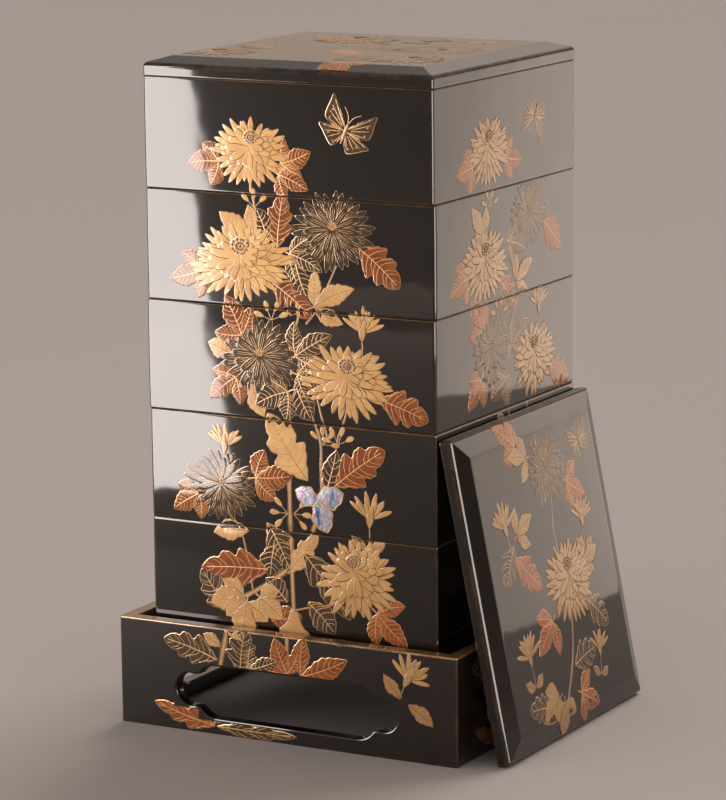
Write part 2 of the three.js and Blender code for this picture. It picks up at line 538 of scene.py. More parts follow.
# A plug through both walls, flared at the four cut edges so that they come out rounded
def openingCutter(name, halfLength, halfThrough, alongX):
    s = standShape
    radius, inner, beyond = s["edgeRounding"], halfThrough - s["wall"], s["cutterBeyond"]
    flare = []
    for i in range(s["edgeSteps"] + 1):
        angle = math.pi / 2 * i / s["edgeSteps"]
        flare.append((radius * (1 - math.cos(angle)), radius * (1 - math.sin(angle))))
    half = [(halfThrough + beyond, radius)]
    half += [(halfThrough - deep, wide) for deep, wide in flare]
    half += [(inner + deep, wide) for deep, wide in reversed(flare)]
    half += [(inner - beyond, radius), (inner - beyond, 0)]
    outline = openingOutline(halfLength)
    mesh = bmesh.new()
    rings = []
    for distance, wide in half + [(-d, w) for d, w in reversed(half)]:
        spots = [(x, s["openingMiddle"] + z) for x, z in widened(outline, wide)]
        rings.append([mesh.verts.new((distance, x, z) if alongX else (x, distance, z)) for x, z in spots])
    skinRings(mesh, rings)
    mesh.faces.new(rings[0])
    mesh.faces.new(rings[-1])
    bmesh.ops.remove_doubles(mesh, verts=mesh.verts, dist=1e-5)
    bmesh.ops.recalc_face_normals(mesh, faces=mesh.faces)
    return finishMesh(mesh, name, standPlace())


def standPlace():
    low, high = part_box("stand")
    return Matrix.Translation(((low.x + high.x) / 2, (low.y + high.y) / 2, low.z)) @ Matrix.Scale(mm, 4)


def makeStand():
    s = standShape
    arris, steps, rim = s["arris"], s["arrisSteps"], s["rimPowder"]
    top, near = s["height"], s["arris"] + s["support"]
    seat = top - s["seatDepth"]
    levels = [
        level(seat - s["seatBoard"], s["wall"]),
        level(s["chamfer"], s["wall"]),
        level(0, s["wall"] - s["chamfer"]),
        *rounding(arris, arris, arris, -90, 0, steps, 0.5),
        level(near, 0),
        level(top - near, 0),
        *rounding(top - arris, arris, arris, 0, 90, steps, 0.9, rim),
        level(top, near, 0, rim),
        level(top, s["wall"] - near, 0, rim),
        *rounding(top - arris, s["wall"] - arris, arris, 90, 180, steps, 0.5, rim),
        level(seat + 1, s["wall"]),
        level(seat, s["wall"] + 0.6),
    ]
    made = loftMesh("stand_shell", s, levels, standPlace())
    cutters = [
        openingCutter("front_cutter", s["width"] / 2 - s["openingEndMargin"], s["depth"] / 2, False),
        openingCutter("side_cutter", s["depth"] / 2 - s["openingEndMargin"], s["width"] / 2, True),
    ]
    for cutter in cutters:
        cut = made.modifiers.new("opening", "BOOLEAN")
        cut.operation = "DIFFERENCE"
        cut.solver = "EXACT"
        cut.object = cutter
    settled = bpy.data.meshes.new_from_object(made.evaluated_get(bpy.context.evaluated_depsgraph_get()))
    made.modifiers.clear()
    made.data = settled
    settled.name = "stand_shell"
    for cutter in cutters:
        bpy.data.objects.remove(cutter)
    tidyNormals(made, sharpAngle=35)
    return made


# Smooth rounded stretches, with each wide flat face kept flat up to its own edge
def tidyNormals(made, sharpAngle):
    mesh = bmesh.new()
    mesh.from_mesh(made.data)
    wide = 2e-5  # square metres
    for face in mesh.faces:
        face.smooth = True
    for edge in mesh.edges:
        if len(edge.link_faces) != 2:
            continue
        one, other = edge.link_faces
        angle = edge.calc_face_angle(0)
        flatBeside = max(one.calc_area(), other.calc_area()) > wide and angle > math.radians(0.5)
        edge.smooth = not (angle > math.radians(sharpAngle) or flatBeside)
    mesh.to_mesh(made.data)
    mesh.free()


stand = makeStand()
stand.data.materials.clear()
stand.data.materials.append(standLacquer)
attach(stand, "root")
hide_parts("stand")
print("stand cut out:", len(stand.data.polygons), "faces")


# Gold, russet and line work. Each picture is drawn flat, in millimetres to the right, up and out of
# the lacquer, then cut at the joints between the tiers and laid on the faces it belongs to.

sunk = -0.05  # edges of the raised work lie just under the lacquer


# Raised shapes on one flat face, sorted by the finish they are made in
class Picture:

    def __init__(self):
        self.sheets = []

    # The shape is turned about its own origin, then moved. tone is one number, or one for each point.
    def add(self, layer, points, faces, edge, tone=0.0, at=(0, 0), turn=0):
        points = turned(points, turn)
        points[:, :2] += at
        edge = np.asarray(edge, float)
        tones = np.full(len(points), tone) if np.isscalar(tone) else np.asarray(tone, float)
        outward = [face if turnsLeft(points, face) else tuple(reversed(face)) for face in faces]
        self.sheets.append({"layer": layer, "points": points, "faces": outward, "edge": edge, "tone": tones})


def turnsLeft(points, face):
    u, v = points[list(face), 0], points[list(face), 1]
    return float(np.dot(u, np.roll(v, -1)) - np.dot(v, np.roll(u, -1))) >= 0


def turned(points, degrees):
    a = math.radians(degrees)
    out = np.array(points, float)
    x, y = out[:, 0].copy(), out[:, 1].copy()
    out[:, 0] = x * math.cos(a) - y * math.sin(a)
    out[:, 1] = x * math.sin(a) + y * math.cos(a)
    return out


# The direction at an angle in degrees, 0 to the right and 90 up
def towards(heading):
    a = math.radians(heading)
    return np.array((math.cos(a), math.sin(a)))


def gridFaces(rows, columns, offset=0):
    faces = []
    for r in range(rows - 1):
        for a in range(offset + r * columns, offset + (r + 1) * columns - 1):
            faces.append((a, a + columns, a + columns + 1, a + 1))
    return faces


# Points, faces and outline marks of a dome. rings lists (half width, half height, out, mark).
def domeShape(top, rings, segments):
    points, edge = [(0, 0, top)], [0.0]
    for wide, high, out, mark in rings:
        for i in range(segments):
            a = 2 * math.pi * i / segments
            points.append((wide * math.cos(a), high * math.sin(a), out))
            edge.append(mark)
    beside = [(i, (i + 1) % segments) for i in range(segments)]
    faces = [(0, 1 + i, 1 + j) for i, j in beside]
    for row in range(len(rings) - 1):
        a, b = 1 + row * segments, 1 + (row + 1) * segments
        faces += [(a + i, b + i, b + j, a + j) for i, j in beside]
    return points, faces, edge


# A mesh that carries its outline marks
def edgeMesh(name, points, faces, edge):
    data = bpy.data.meshes.new(name)
    data.from_pydata(points, [], faces)
    data.attributes.new("edge", "FLOAT", "POINT").data.foreach_set("value", edge)
    return data


# Petals: one petal of unit length, repeated round a blossom

petalShape = {
    "rows": 8,
    "baseFullness": 0.6,
    "tipSharpness": 4.2,
    "tipTaper": 0.9,
    "widest": 0.66,
    "relief": 0.10,
    "lineRelief": 0.04,
    "lineHalfWidth": 0.036,
    "lineStart": 0.14,
    "lineStations": 6,
}
seedRings = ((0.34, 0.34, 0.18, 0.0), (0.5, 0.5, sunk, 1.0))


# Half width of a petal along its length, with 1 at the widest
def petalWidth(t):
    s = petalShape
    return t ** s["baseFullness"] * (1 - t ** s["tipSharpness"]) ** s["tipTaper"] / s["widest"]


def petalHeight(t, relief):
    return relief * (0.6 + 0.4 * t) * min(1.0, 0.3 + (1 - t) / 0.1)


# One petal along x with an outline band, and fine raised lines down it if wanted
def unitPetal(name, relief, band, lines=0):
    s = petalShape
    half = ((1.0, None, 1.0), (0.95, 0.8, 1.0), (1 - band, 1.0, 0.0))
    across = half + ((0.0, 1.0, 0.0),) + tuple((-place, out, mark) for place, out, mark in reversed(half))
    points, edge = [], []
    for i in range(s["rows"] + 1):
        t = 1 - (1 - i / s["rows"]) ** 1.35
        wide = petalWidth(t) / 2
        atEnd = i == s["rows"]
        for place, out, mark in across:
            height = sunk if out is None or atEnd else petalHeight(t, relief) * out
            points.append((t, -wide * place, height))
            edge.append(1.0 if atEnd else mark)
    faces = gridFaces(s["rows"] + 1, len(across))
    stations, start = s["lineStations"], s["lineStart"]
    for line in range(lines):
        place = -0.5 + (line + 0.5) / lines
        reach = 0.84 - 0.3 * abs(place)
        faces += gridFaces(stations, 3, len(points))
        for i in range(stations):
            t = start + (reach - start) * i / (stations - 1)
            middle = petalWidth(t) / 2 * place
            top = petalHeight(t, relief) + s["lineRelief"]
            thick = s["lineHalfWidth"] * (1 if 0 < i < stations - 1 else 0.4)
            for side in (-1, 0, 1):
                points.append((t, middle + side * thick, top - abs(side) * (s["lineRelief"] + 0.03)))
                edge.append(1.0)
    return edgeMesh(name, points, faces, edge)


# What one ring is given, and the kind of each value
ringSockets = {
    "Geometry": "Geometry",
    "Count": "Int",
    "Reach Across": "Float",
    "Reach Up": "Float",
    "Root": "Float",
    "Width": "Float",
    "Start": "Float",
    "Sweep": "Float",
    "Lift": "Float",
    "Overlap": "Float",
    "Unevenness": "Float",
    "Seed": "Int",
    "Material": "Material",
}
ringDrift = (-0.35, 0.35)  # sideways, as a share of the spacing
ringStretch = (-0.11, 0.09)  # of a copy's reach


# Copies of one petal or seed round an oval, each pointing outwards from the middle
def buildRingTree():
    tree = bpy.data.node_groups.new("petal_ring", "GeometryNodeTree")
    for name, kind in ringSockets.items():
        tree.interface.new_socket(name, in_out="INPUT", socket_type="NodeSocket" + kind)
    tree.interface.new_socket("Geometry", in_out="OUTPUT", socket_type="NodeSocketGeometry")
    n = NodeTree(tree)
    source = n.add("NodeGroupInput").outputs

    def plus(first, second):
        return n.maths("ADD", first, second)

    def times(first, second):
        return n.maths("MULTIPLY", first, second)

    def made(kind, inputs):
        return n.feedAll(n.add(kind), inputs).outputs[0]

    def randomBetween(low, high, seedShift):
        node = n.add("FunctionNodeRandomValue", data_type="FLOAT")
        return n.feedAll(node, {2: low, 3: high, "Seed": plus(source["Seed"], seedShift)}).outputs[1]

    index = n.add("GeometryNodeInputIndex").outputs[0]
    drift = times(randomBetween(*ringDrift, 1), source["Unevenness"])
    share = n.maths("DIVIDE", plus(index, drift), source["Count"])
    angle = plus(source["Start"], times(source["Sweep"], share))
    stretch = plus(1.0, times(randomBetween(*ringStretch, 2), source["Unevenness"]))
    tipX = times(times(n.maths("COSINE", angle), source["Reach Across"]), stretch)
    tipY = times(times(n.maths("SINE", angle), source["Reach Up"]), stretch)
    lift = plus(source["Lift"], times(n.maths("MODULO", index, 2.0), source["Overlap"]))
    root = source["Root"]
    whole = n.maths("SQRT", plus(times(tipX, tipX), times(tipY, tipY)))
    length = times(whole, n.maths("SUBTRACT", 1.0, root))
    heading = n.vector(0.0, 0.0, n.maths("ARCTAN2", tipY, tipX))
    placed = made("GeometryNodeSetPosition", {
        "Geometry": made("GeometryNodePoints", {"Count": source["Count"]}),
        "Position": n.vector(times(tipX, root), times(tipY, root), lift),
    })
    copies = made("GeometryNodeInstanceOnPoints", {
        "Points": placed,
        "Instance": source["Geometry"],
        "Rotation": made("FunctionNodeEulerToRotation", {0: heading}),
        "Scale": n.vector(length, source["Width"], 1.0),
    })
    real = made("GeometryNodeRealizeInstances", {0: copies})
    finish = made("GeometryNodeSetMaterial", {"Geometry": real, "Material": source["Material"]})
    n.feedAll(n.add("NodeGroupOutput"), {0: finish})
    return tree


ringTree = buildRingTree()
ringInputs = {
    item.name: item.identifier for item in ringTree.interface.items_tree if item.in_out == "INPUT"
}
unitMeshes = {
    "gold": unitPetal("gold_petal", petalShape["relief"], 0.3),
    "line": unitPetal("line_petal", 0.06, 0.22, lines=2),
    "seed": edgeMesh("seed", *domeShape(0.26, seedRings, 8)),
}


# Petals or seeds round an oval, as points, faces and outline marks
def ring(
    kind, count, across, up, width, lift=0.0, root=0.0,
    start=0.0, sweep=360.0, overlap=0.05, uneven=1.0, seed=1,
):
    maker = bpy.data.objects.new("ring_maker", unitMeshes[kind])
    scene.collection.objects.link(maker)
    modifier = maker.modifiers.new("ring", "NODES")
    modifier.node_group = ringTree
    values = {
        "Count": int(count),
        "Reach Across": float(across),
        "Reach Up": float(up),
        "Root": float(root),
        "Width": float(width),
        "Start": math.radians(start),
        "Sweep": math.radians(sweep),
        "Lift": float(lift),
        "Overlap": float(overlap),
        "Unevenness": float(uneven),
        "Seed": int(seed),
        "Material": blackLacquer,
    }
    for name, value in values.items():
        modifier[ringInputs[name]] = value
    result = bpy.data.meshes.new_from_object(maker.evaluated_get(bpy.context.evaluated_depsgraph_get()))
    points = np.zeros(len(result.vertices) * 3)
    result.vertices.foreach_get("co", points)
    edge = np.zeros(len(result.vertices))
    result.attributes["edge"].data.foreach_get("value", edge)
    faces = [tuple(face.vertices) for face in result.polygons]
    bpy.data.objects.remove(maker)
    bpy.data.meshes.remove(result)
    points = points.reshape(-1, 3)
    points[points[:, 2] < lift + 0.005, 2] = sunk  # outer edges go down into the lacquer
    return points, faces, edge


# Blossoms, each made once and placed many times

goldBlossom = {
    "rings": (  # share of the petals, reach, fullness, lift, upward shift, start, sweep
        (1.00, 1.00, 0.70, 0.06, 0.00, 90, 360),
        (0.88, 0.84, 0.74, 0.11, 0.04, 97, 360),
        (0.60, 0.62, 0.82, 0.16, 0.13, 90, 360),
        (0.33, 0.58, 0.84, 0.22, 0.10, 188, 176),
        (0.24, 0.38, 0.88, 0.36, 0.22, 192, 164),
    ),
    "heart": (0.22, 0.17, 0.42, 0.38),  # half width, half height, place above the middle and lift
    "domeSize": 1.13,  # of the dome under the seeds, against the heart
    "seeds": ((13, 1.0), (9, 0.64), (4, 0.3)),  # how many, and how far out
    "seedSize": 0.068,
}
lineBlossom = {
    "rings": ((1.2, 1.0, 0.04, 0.0), (0.92, 0.72, 0.1, 0.06)),  # share of the petals, reach, lift, shift
    "fullness": 0.84,
    "heart": (0.18, 0.12, 0.22),  # half width, place above the middle and lift
    "squash": 0.8,
    "seeds": ((9, 0.78), (5, 0.4)),
    "seedSize": 0.05,
}


# A blossom seen from above and a little in front: its heart sits high and its near petals are long
def makeGoldBlossom(petals, reach, squash, seed):
    parts = []
    spec = goldBlossom
    for index, (share, far, full, lift, shift, start, sweep) in enumerate(spec["rings"]):
        count = max(6, round(petals * share))
        width = math.radians(sweep) * reach * far / count * full
        points, faces, edge = ring(
            "gold", count, reach * far, reach * squash * far, width, lift, 0.0,
            start + index * 180 / count, sweep, seed=seed * 10 + index,
        )
        points[:, 1] += shift * reach * squash
        parts.append((points, faces, edge, 0.0))
    halfWide, halfHigh, up, lift = spec["heart"]
    size = reach * spec["seedSize"]
    for index, (count, share) in enumerate(spec["seeds"]):
        across = reach * halfWide * share
        points, faces, edge = ring(
            "seed", count, across, reach * halfHigh * share, size, lift,
            root=1 - size / across, uneven=0.6, overlap=0, seed=seed * 10 + 6 + index,
        )
        points[:, 1] += up * reach * squash
        parts.append((points, faces, np.ones(len(points)), 1.0))
    return parts


# A blossom drawn in fine lines: two rows of long petals round a small gold heart
def makeLineBlossom(petals, reach, squash, seed):
    parts = []
    for index, (share, far, lift, shift) in enumerate(lineBlossom["rings"]):
        count = round(petals * share)
        width = 2 * math.pi * reach * far / count * lineBlossom["fullness"]
        points, faces, edge = ring(
            "line", count, reach * far, reach * squash * far, width, lift, 0.0, 90 + index * 180 / count,
            seed=seed * 10 + index, uneven=0.8,
        )
        points[:, 1] += shift * reach
        parts.append((points, faces, edge, 0.0))
    return parts


madeBlossoms = {}


def blossom(picture, kind, u, v, reach, petals=24, squash=0.74, turn=0, seed=1):
    key = (kind, reach, petals, squash, seed)
    if key not in madeBlossoms:
        maker = makeGoldBlossom if kind == "gold" else makeLineBlossom
        madeBlossoms[key] = maker(petals, reach, squash, seed)
    for points, faces, edge, tone in madeBlossoms[key]:
        picture.add(kind, points, faces, edge, tone, (u, v), turn)
    if kind == "gold":
        spec = goldBlossom
        halfWide, halfHigh, up, lift = spec["heart"]
        middle = turned([(0.0, up * reach * squash)], turn)[0]
        wide, high = reach * halfWide * spec["domeSize"], reach * halfHigh * spec["domeSize"]
        dome(picture, "gold", u + middle[0], v + middle[1], wide, high, lift)
    if kind == "line":
        spec = lineBlossom
        heart, up, lift = spec["heart"]
        heart, middle, size = reach * heart, v + reach * up, reach * spec["seedSize"]
        dome(picture, "gold", u, middle, heart, heart * spec["squash"], lift, 0.3)
        for index, (count, share) in enumerate(spec["seeds"]):
            across = heart * share
            seeds = ring(
                "seed", count, across, across * spec["squash"], size, 0.3,
                root=1 - size / across, uneven=0.4, overlap=0, seed=seed + index,
            )
            picture.add("gold", *seeds, 0.8, (u, middle))


def dome(picture, layer, u, v, halfWide, halfHigh, relief, tone=0.0, segments=16):
    profile = ((0.6, relief * 0.9, 0.0), (0.88, relief * 0.6, 0.0), (1.0, sunk, 1.0))
    rings = [(halfWide * share, halfHigh * share, out, mark) for share, out, mark in profile]
    picture.add(layer, *domeShape(relief, rings, segments), tone, (u, v))


# A curve through the anchors (Catmull-Rom)
def smoothPath(anchors, perSpan=6):
    anchors = [np.array(a, float) for a in anchors]
    ends = [2 * anchors[0] - anchors[1]] + anchors + [2 * anchors[-1] - anchors[-2]]
    path = []
    for a, b, c, d in zip(ends, ends[1:], ends[2:], ends[3:]):
        for i in range(perSpan):
            t = i / perSpan
            square, cube = 2 * a - 5 * b + 4 * c - d, 3 * b - a - 3 * c + d
            path.append(0.5 * (2 * b + (c - a) * t + square * t**2 + cube * t**3))
    return np.array(path + [anchors[-1]])


# A rounded raised band along a path. widths is the full width at each point of the path.
def strip(picture, layer, path, widths, relief, lift=0.0, edge=None, tone=0.0):
    path = np.asarray(path, float)
    ahead = np.gradient(path, axis=0)
    ahead /= np.maximum(np.linalg.norm(ahead, axis=1, keepdims=True), 1e-9)
    side = np.stack([-ahead[:, 1], ahead[:, 0]], 1)
    section = ((-1, None, 1.0), (-0.72, 0.72, 0.0), (0, 1.0, 0.0), (0.72, 0.72, 0.0), (1, None, 1.0))
    if relief < 0.15:
        section = ((-1, None, 1.0), (0, 1.0, 0.0), (1, None, 1.0))
    points, marks = [], []
    for spot, across, wide in zip(path, side, widths):
        for place, height, mark in section:
            flat = spot + across * place * wide / 2
            out = lift + (sunk if height is None else relief * height)
            points.append((flat[0], flat[1], out))
            marks.append(mark if edge is None else edge)
    faces = [tuple(reversed(f)) for f in gridFaces(len(path), len(section))]
    picture.add(layer, points, faces, marks, tone)


# A stem that tapers, with a swelling at each knot (a share of its length)
def stem(picture, anchors, startWidth, endWidth, knots=(), relief=0.13):
    path = smoothPath(anchors)
    count = len(path)
    widths = []
    for i in range(count):
        t = i / (count - 1)
        swell = sum(0.45 * math.exp(-(((t - k) * count / 2.2) ** 2)) for k in knots)
        widths.append((startWidth + (endWidth - startWidth) * t) * (1 + swell))
    strip(picture, "gold", path, widths, relief)


# Half width of a blade at shares of its length, with 1 at the widest
leafKinds = {
    "long": {
        "edge": (
            (0, 0.05), (0.04, 0.16), (0.08, 0.36), (0.12, 0.46), (0.15, 0.43), (0.19, 0.66), (0.24, 0.82),
            (0.27, 0.78), (0.31, 0.96), (0.36, 1.0), (0.40, 0.90), (0.43, 0.66), (0.46, 0.56), (0.50, 0.74),
            (0.54, 0.84), (0.58, 0.80), (0.62, 0.86), (0.66, 0.78), (0.70, 0.54), (0.74, 0.52), (0.78, 0.56),
            (0.82, 0.50), (0.86, 0.46), (0.90, 0.36), (0.95, 0.22), (1, 0),
        ),
        "slant": 0.34,
        "veins": (0.06, 0.15, 0.24, 0.33, 0.42, 0.51, 0.60, 0.70, 0.80),
    },
    "lobe": {
        "edge": (
            (0, 0.05), (0.06, 0.28), (0.12, 0.52), (0.17, 0.62), (0.21, 0.58), (0.27, 0.82), (0.33, 0.94),
            (0.38, 0.86), (0.44, 0.98), (0.50, 1.0), (0.55, 0.90), (0.59, 0.80), (0.65, 0.84), (0.70, 0.72),
            (0.74, 0.58), (0.79, 0.56), (0.84, 0.46), (0.88, 0.34), (0.93, 0.24), (1, 0),
        ),
        "slant": 0.36,
        "veins": (0.10, 0.22, 0.34, 0.46, 0.58, 0.70),
    },
    "small": {
        "edge": (
            (0, 0.06), (0.08, 0.34), (0.16, 0.60), (0.22, 0.70), (0.28, 0.68), (0.35, 0.90), (0.43, 1.0),
            (0.49, 0.92), (0.56, 0.96), (0.63, 0.84), (0.69, 0.68), (0.75, 0.66), (0.81, 0.54), (0.88, 0.36),
            (1, 0),
        ),
        "slant": 0.3,
        "veins": (0.12, 0.27, 0.42, 0.57, 0.70),
    },
}
# Heights of a leaf's parts, and how far its border reaches in
leafRelief = {"border": 0.08, "blade": 0.09, "rib": 0.12, "outline": 0.95}
leafStations = 36


# A leaf from its stalk at (u, v). A broad one is three toothed lobes. Angles are in degrees.
def leaf(picture, layer, u, v, length, width, heading, bend=0, kind="long", tone=0.0, lift=0.0):
    if kind != "broad":
        blade(picture, layer, u, v, length, width, heading, bend, kind, tone, lift)
        return
    root = np.array((u, v)) + length * 0.16 * towards(heading)
    mark = 0.0 if layer == "gold" else 1.0
    for spread, curl in ((-48, 26), (60, -26)):
        blade(picture, layer, *root, length * 0.62, width * 0.56, heading + spread, curl, "lobe", tone, lift)
    strip(picture, layer, smoothPath(((u, v), root), 3), (1.4, 1.3, 1.2, 1.1), 0.12, lift + 0.02, mark)
    blade(picture, layer, *root, length * 0.84, width * 0.66, heading, bend, "lobe", tone, lift + 0.05)


# One toothed blade about a bent midrib, with its border and its veins
def blade(picture, layer, u, v, length, width, heading, bend, kind, tone, lift):
    spec = leafKinds[kind]
    relief = leafRelief
    shares, reaches = zip(*spec["edge"])
    stations = leafStations
    spot = np.array((u, v), float)
    middle, ahead = [], []
    for i in range(stations + 1):
        ahead.append(towards(heading + bend * (i / stations - 0.5)))
        middle.append(spot.copy())
        spot += ahead[-1] * length / stations

    def outlinePoint(i, side, inset):
        t = i / stations
        reach = width / 2 * float(np.interp(t, shares, reaches))
        reach = max(reach - inset, reach * 0.35)
        across = np.array((-ahead[i][1], ahead[i][0])) * side
        return middle[i] + across * reach + ahead[i] * reach * spec["slant"] * (1 - 0.85 * t)

    columns = (
        (1, 0.0, sunk, 1.0),
        (1, 0.12, relief["border"], 1.0),
        (1, relief["outline"], relief["blade"], 0.0),
        (0, 0, relief["rib"], 0.0),
    )
    section = columns + tuple((-side, inset, out, mark) for side, inset, out, mark in reversed(columns[:-1]))
    points, edge = [], []
    for i in range(stations + 1):
        atEnd = i in (0, stations)
        for side, inset, out, mark in section:
            flat = middle[i] if side == 0 else outlinePoint(i, side, inset)
            points.append((flat[0], flat[1], lift + (sunk if atEnd else out)))
            edge.append(1.0 if atEnd else mark)
    along = np.linspace(0, 1, stations + 1).repeat(len(section))
    tones = tone if np.isscalar(tone) else tone[0] + (tone[1] - tone[0]) * along
    faces = [tuple(reversed(f)) for f in gridFaces(stations + 1, len(section))]
    picture.add(layer, points, faces, edge, tones)
    mark, fine = (0.6, 0.5) if layer == "gold" else (1.0, 0.8)
    top = lift + relief["blade"]
    rib = np.array(middle[1:-2:2])
    strip(picture, layer, rib, np.linspace(fine * 1.5, fine * 0.8, len(rib)), 0.07, top + 0.04, mark, 0.2)
    for share in spec["veins"]:
        start = round(stations * share)
        for side in (-1, 1):
            end = outlinePoint(min(stations - 2, start + stations // 8), side, 1.2)
            begin = middle[start]
            bow = (begin + end) / 2 - ahead[start] * 0.03 * length
            path = smoothPath((begin, bow, end), 2)
            strip(picture, layer, path, np.linspace(fine, fine * 0.6, len(path)), 0.07, top + 0.01, mark, 0.2)


# A raised patch that spreads from one point to an outline, with its border marked
def fan(picture, layer, base, outline, relief, tone=0.0, lift=0.0):
    base = np.array(base, float)
    outline = [np.array(p, float) for p in outline]
    points, edge = [], []
    for spot in outline:
        away = spot - base
        far = max(np.linalg.norm(away), 1e-6)
        for share, out, mark in ((0.0, 0.9, 0.0), (1.0, 1.0, 0.0), (0.22, 0.85, 1.0), (0.0, None, 1.0)):
            at = base + away * (0.0 if mark == 0 and share == 0 else max(0.3, 1 - share / far))
            points.append((at[0], at[1], lift + (sunk if out is None else relief * out)))
            edge.append(mark)
    picture.add(layer, points, gridFaces(len(outline), 4), edge, tone)


# The earth at the foot of a stem, on the stand's rim
def mound(picture, u):
    rightHalf = ((13, 74), (12, 78), (8, 81), (5, 86), (3, 93))
    outline = rightHalf + ((-3, 93), (-5, 86), (-8, 82), (-12, 79), (-13, 74))
    fan(picture, "gold", (u, 74), [(u + x, y) for x, y in outline], 0.16, 0.25, 0.1)


# Small oval buds on short stalks
def budCluster(picture, u, v, heading, size=1.0, count=5):
    for n in range(count):
        angle = heading + (n - (count - 1) / 2) * 46
        tip = np.array((u, v)) + 6.0 * size * towards(angle)
        stem(picture, ((u, v), tip), 1.1 * size, 0.9 * size, relief=0.12)
        reach = 8.5 * size
        bud = ring("gold", 1, reach, reach, 4.6 * size, 0.05, sweep=0, start=angle, uneven=0, seed=3)
        picture.add("gold", *bud, 0.1, tip)


# A half-open flower seen from the side, on its calyx, with a short stalk and two small leaves
def sideFlower(picture, u, v, reach, heading=90, petals=9, seed=5, leaves=True):
    ahead = towards(heading)
    for row, (far, lift, spread) in enumerate(((1.0, 0.05, 150), (0.84, 0.1, 104), (0.62, 0.16, 60))):
        count = max(3, petals - 1 - 2 * row)
        start = heading - spread / 2 + spread / count / 2
        fanned = ring(
            "gold", count, reach * far, reach * far, reach * 0.21, lift,
            start=start, sweep=spread, seed=seed + row,
        )
        picture.add("gold", *fanned, 0.0, (u, v))
    cup = np.array((u, v)) - ahead * reach * 0.34
    calyx = ring("gold", 1, reach * 0.62, reach * 0.62, reach * 0.36, 0.22, start=heading, sweep=0, uneven=0)
    picture.add("gold", *calyx, 0.3, cup)
    foot = cup - ahead * reach * 0.75
    stem(picture, (cup + ahead * 1.5, (cup + foot) / 2 + np.array((0.8, 0)), foot), 1.5, 1.8)
    if leaves:
        for side in (1, -1):
            way, curl = heading + side * 62, side * -50
            leaf(picture, "gold", *foot, reach * 0.8, reach * 0.5, way, curl, "small", 0.35)


# Round one wing, as shares of its length and width: narrow at its root, one corner drawn out
wingShape = (
    (0.0, 0.0), (0.35, 0.26), (0.7, 0.42), (1.06, 0.5), (0.97, 0.2),
    (0.88, -0.1), (0.728, -0.42), (0.5, -0.4), (0.22, -0.22), (0.0, 0.0),
)


# Two pairs of dark wings with gold borders, veins and spots
def butterfly(picture, u, v, size, turn):
    root = np.array((u, v), float)
    for side in (1, -1):
        for angle, far, wide in ((30, 1.05, 0.7), (-34, 0.8, 0.78)):
            heading = turn + (angle if side > 0 else 180 - angle)
            wing = np.array(wingShape) * (size * far, size * wide * side)
            outline = smoothPath(turned(wing, heading) + root, 3)
            fan(picture, "line", root, outline, 0.1, tone=0.45)
            for n in range(3, len(outline) - 3, 3):
                end = outline[n] * 0.86 + root * 0.14
                begin = outline[n] * 0.2 + root * 0.8
                strip(picture, "line", (begin, (begin + end) / 2, end), (0.6, 0.9, 0.6), 0.06, 0.09, 1.0)
            for n in range(5, len(outline) - 5, 4):
                spot = outline[n] * 0.76 + root * 0.24
                dome(picture, "gold", spot[0], spot[1], size * 0.035, size * 0.035, 0.18, 0.2, segments=8)
    ahead = towards(turn + 90)
    body = [root + ahead * size * k for k in (-0.4, -0.2, 0.0, 0.14, 0.24)]
    strip(picture, "gold", body, [size * k for k in (0.04, 0.12, 0.14, 0.13, 0.05)], 0.3, 0.1, tone=0.3)
    for side in (-1, 1):
        across = np.array((-ahead[1], ahead[0])) * side
        tip = root + ahead * size * 0.66 + across * size * 0.3
        bend = root + ahead * size * 0.48 + across * size * 0.1
        feeler = smoothPath((root + ahead * size * 0.22, bend, tip), 4)
        strip(picture, "line", feeler, np.linspace(0.7, 0.55, len(feeler)), 0.1, 0, 1.0)


# A three-lobed leaf cut from shell, with a gold rim
def shellLeaf(picture, u, v, size, turn):
    steps = np.arange(49)
    share = 1 - np.abs(steps / 24 - 1)  # out along one side and back along the other
    half = np.where(steps < 24, -0.74, 0.74) * share**0.62 * (1 - share**2.0)
    half *= 1 + 0.09 * np.sin(share * 17)
    for angle, far in ((turn + 92, 1.0), (turn - 133, 0.85), (turn, 1.0)):
        outline = turned(size * far * np.stack([share, half], 1), angle) + (u, v)
        fan(picture, "shell", (u, v), outline, 0.16, tone=angle / 360 % 1)
        strip(picture, "gold", outline, [1.2] * len(outline), 0.2, 0.02, tone=0.0)


# Laying a picture on a face

sides = {
    "front": ((1, 0), (0, -1)),
    "right": ((0, 1), (1, 0)),
    "back": ((-1, 0), (0, 1)),
    "left": ((0, -1), (-1, 0)),
}


# How far a picture stays clear of the edges of an upright face, of a joint, of the lid's edge, and of
# the rim's outer and inner edges
clearOf = {"corner": 0.5, "joint": 0.3, "lid": 1.8, "rimOuter": 0.7, "rimInner": 0.9}


def cornerInsets(radius, fromCorner):
    short = np.clip(radius - fromCorner, 0, radius)
    return radius - np.sqrt(np.maximum(radius**2 - short**2, 0))


# From a picture's right, up and out to the box's own frame, on one of its upright sides
def uprightWrap(shape, height, side, base):
    right, out = sides[side]
    halfAcross = (shape["width"] if right[0] else shape["depth"]) / 2
    halfOut = (shape["depth"] if right[0] else shape["width"]) / 2

    def wrap(points):
        u, v, h = points.T
        z = v - base
        cornered = cornerInsets(shape["corner"], halfAcross - np.abs(u))
        away = halfOut - faceInset(shape, height, z) - cornered + h
        return np.stack([right[0] * u + out[0] * away, right[1] * u + out[1] * away, z], 1)

    reach, joint = halfAcross - clearOf["corner"], clearOf["joint"]
    return wrap, (-reach, reach, base + joint, base + height - joint)


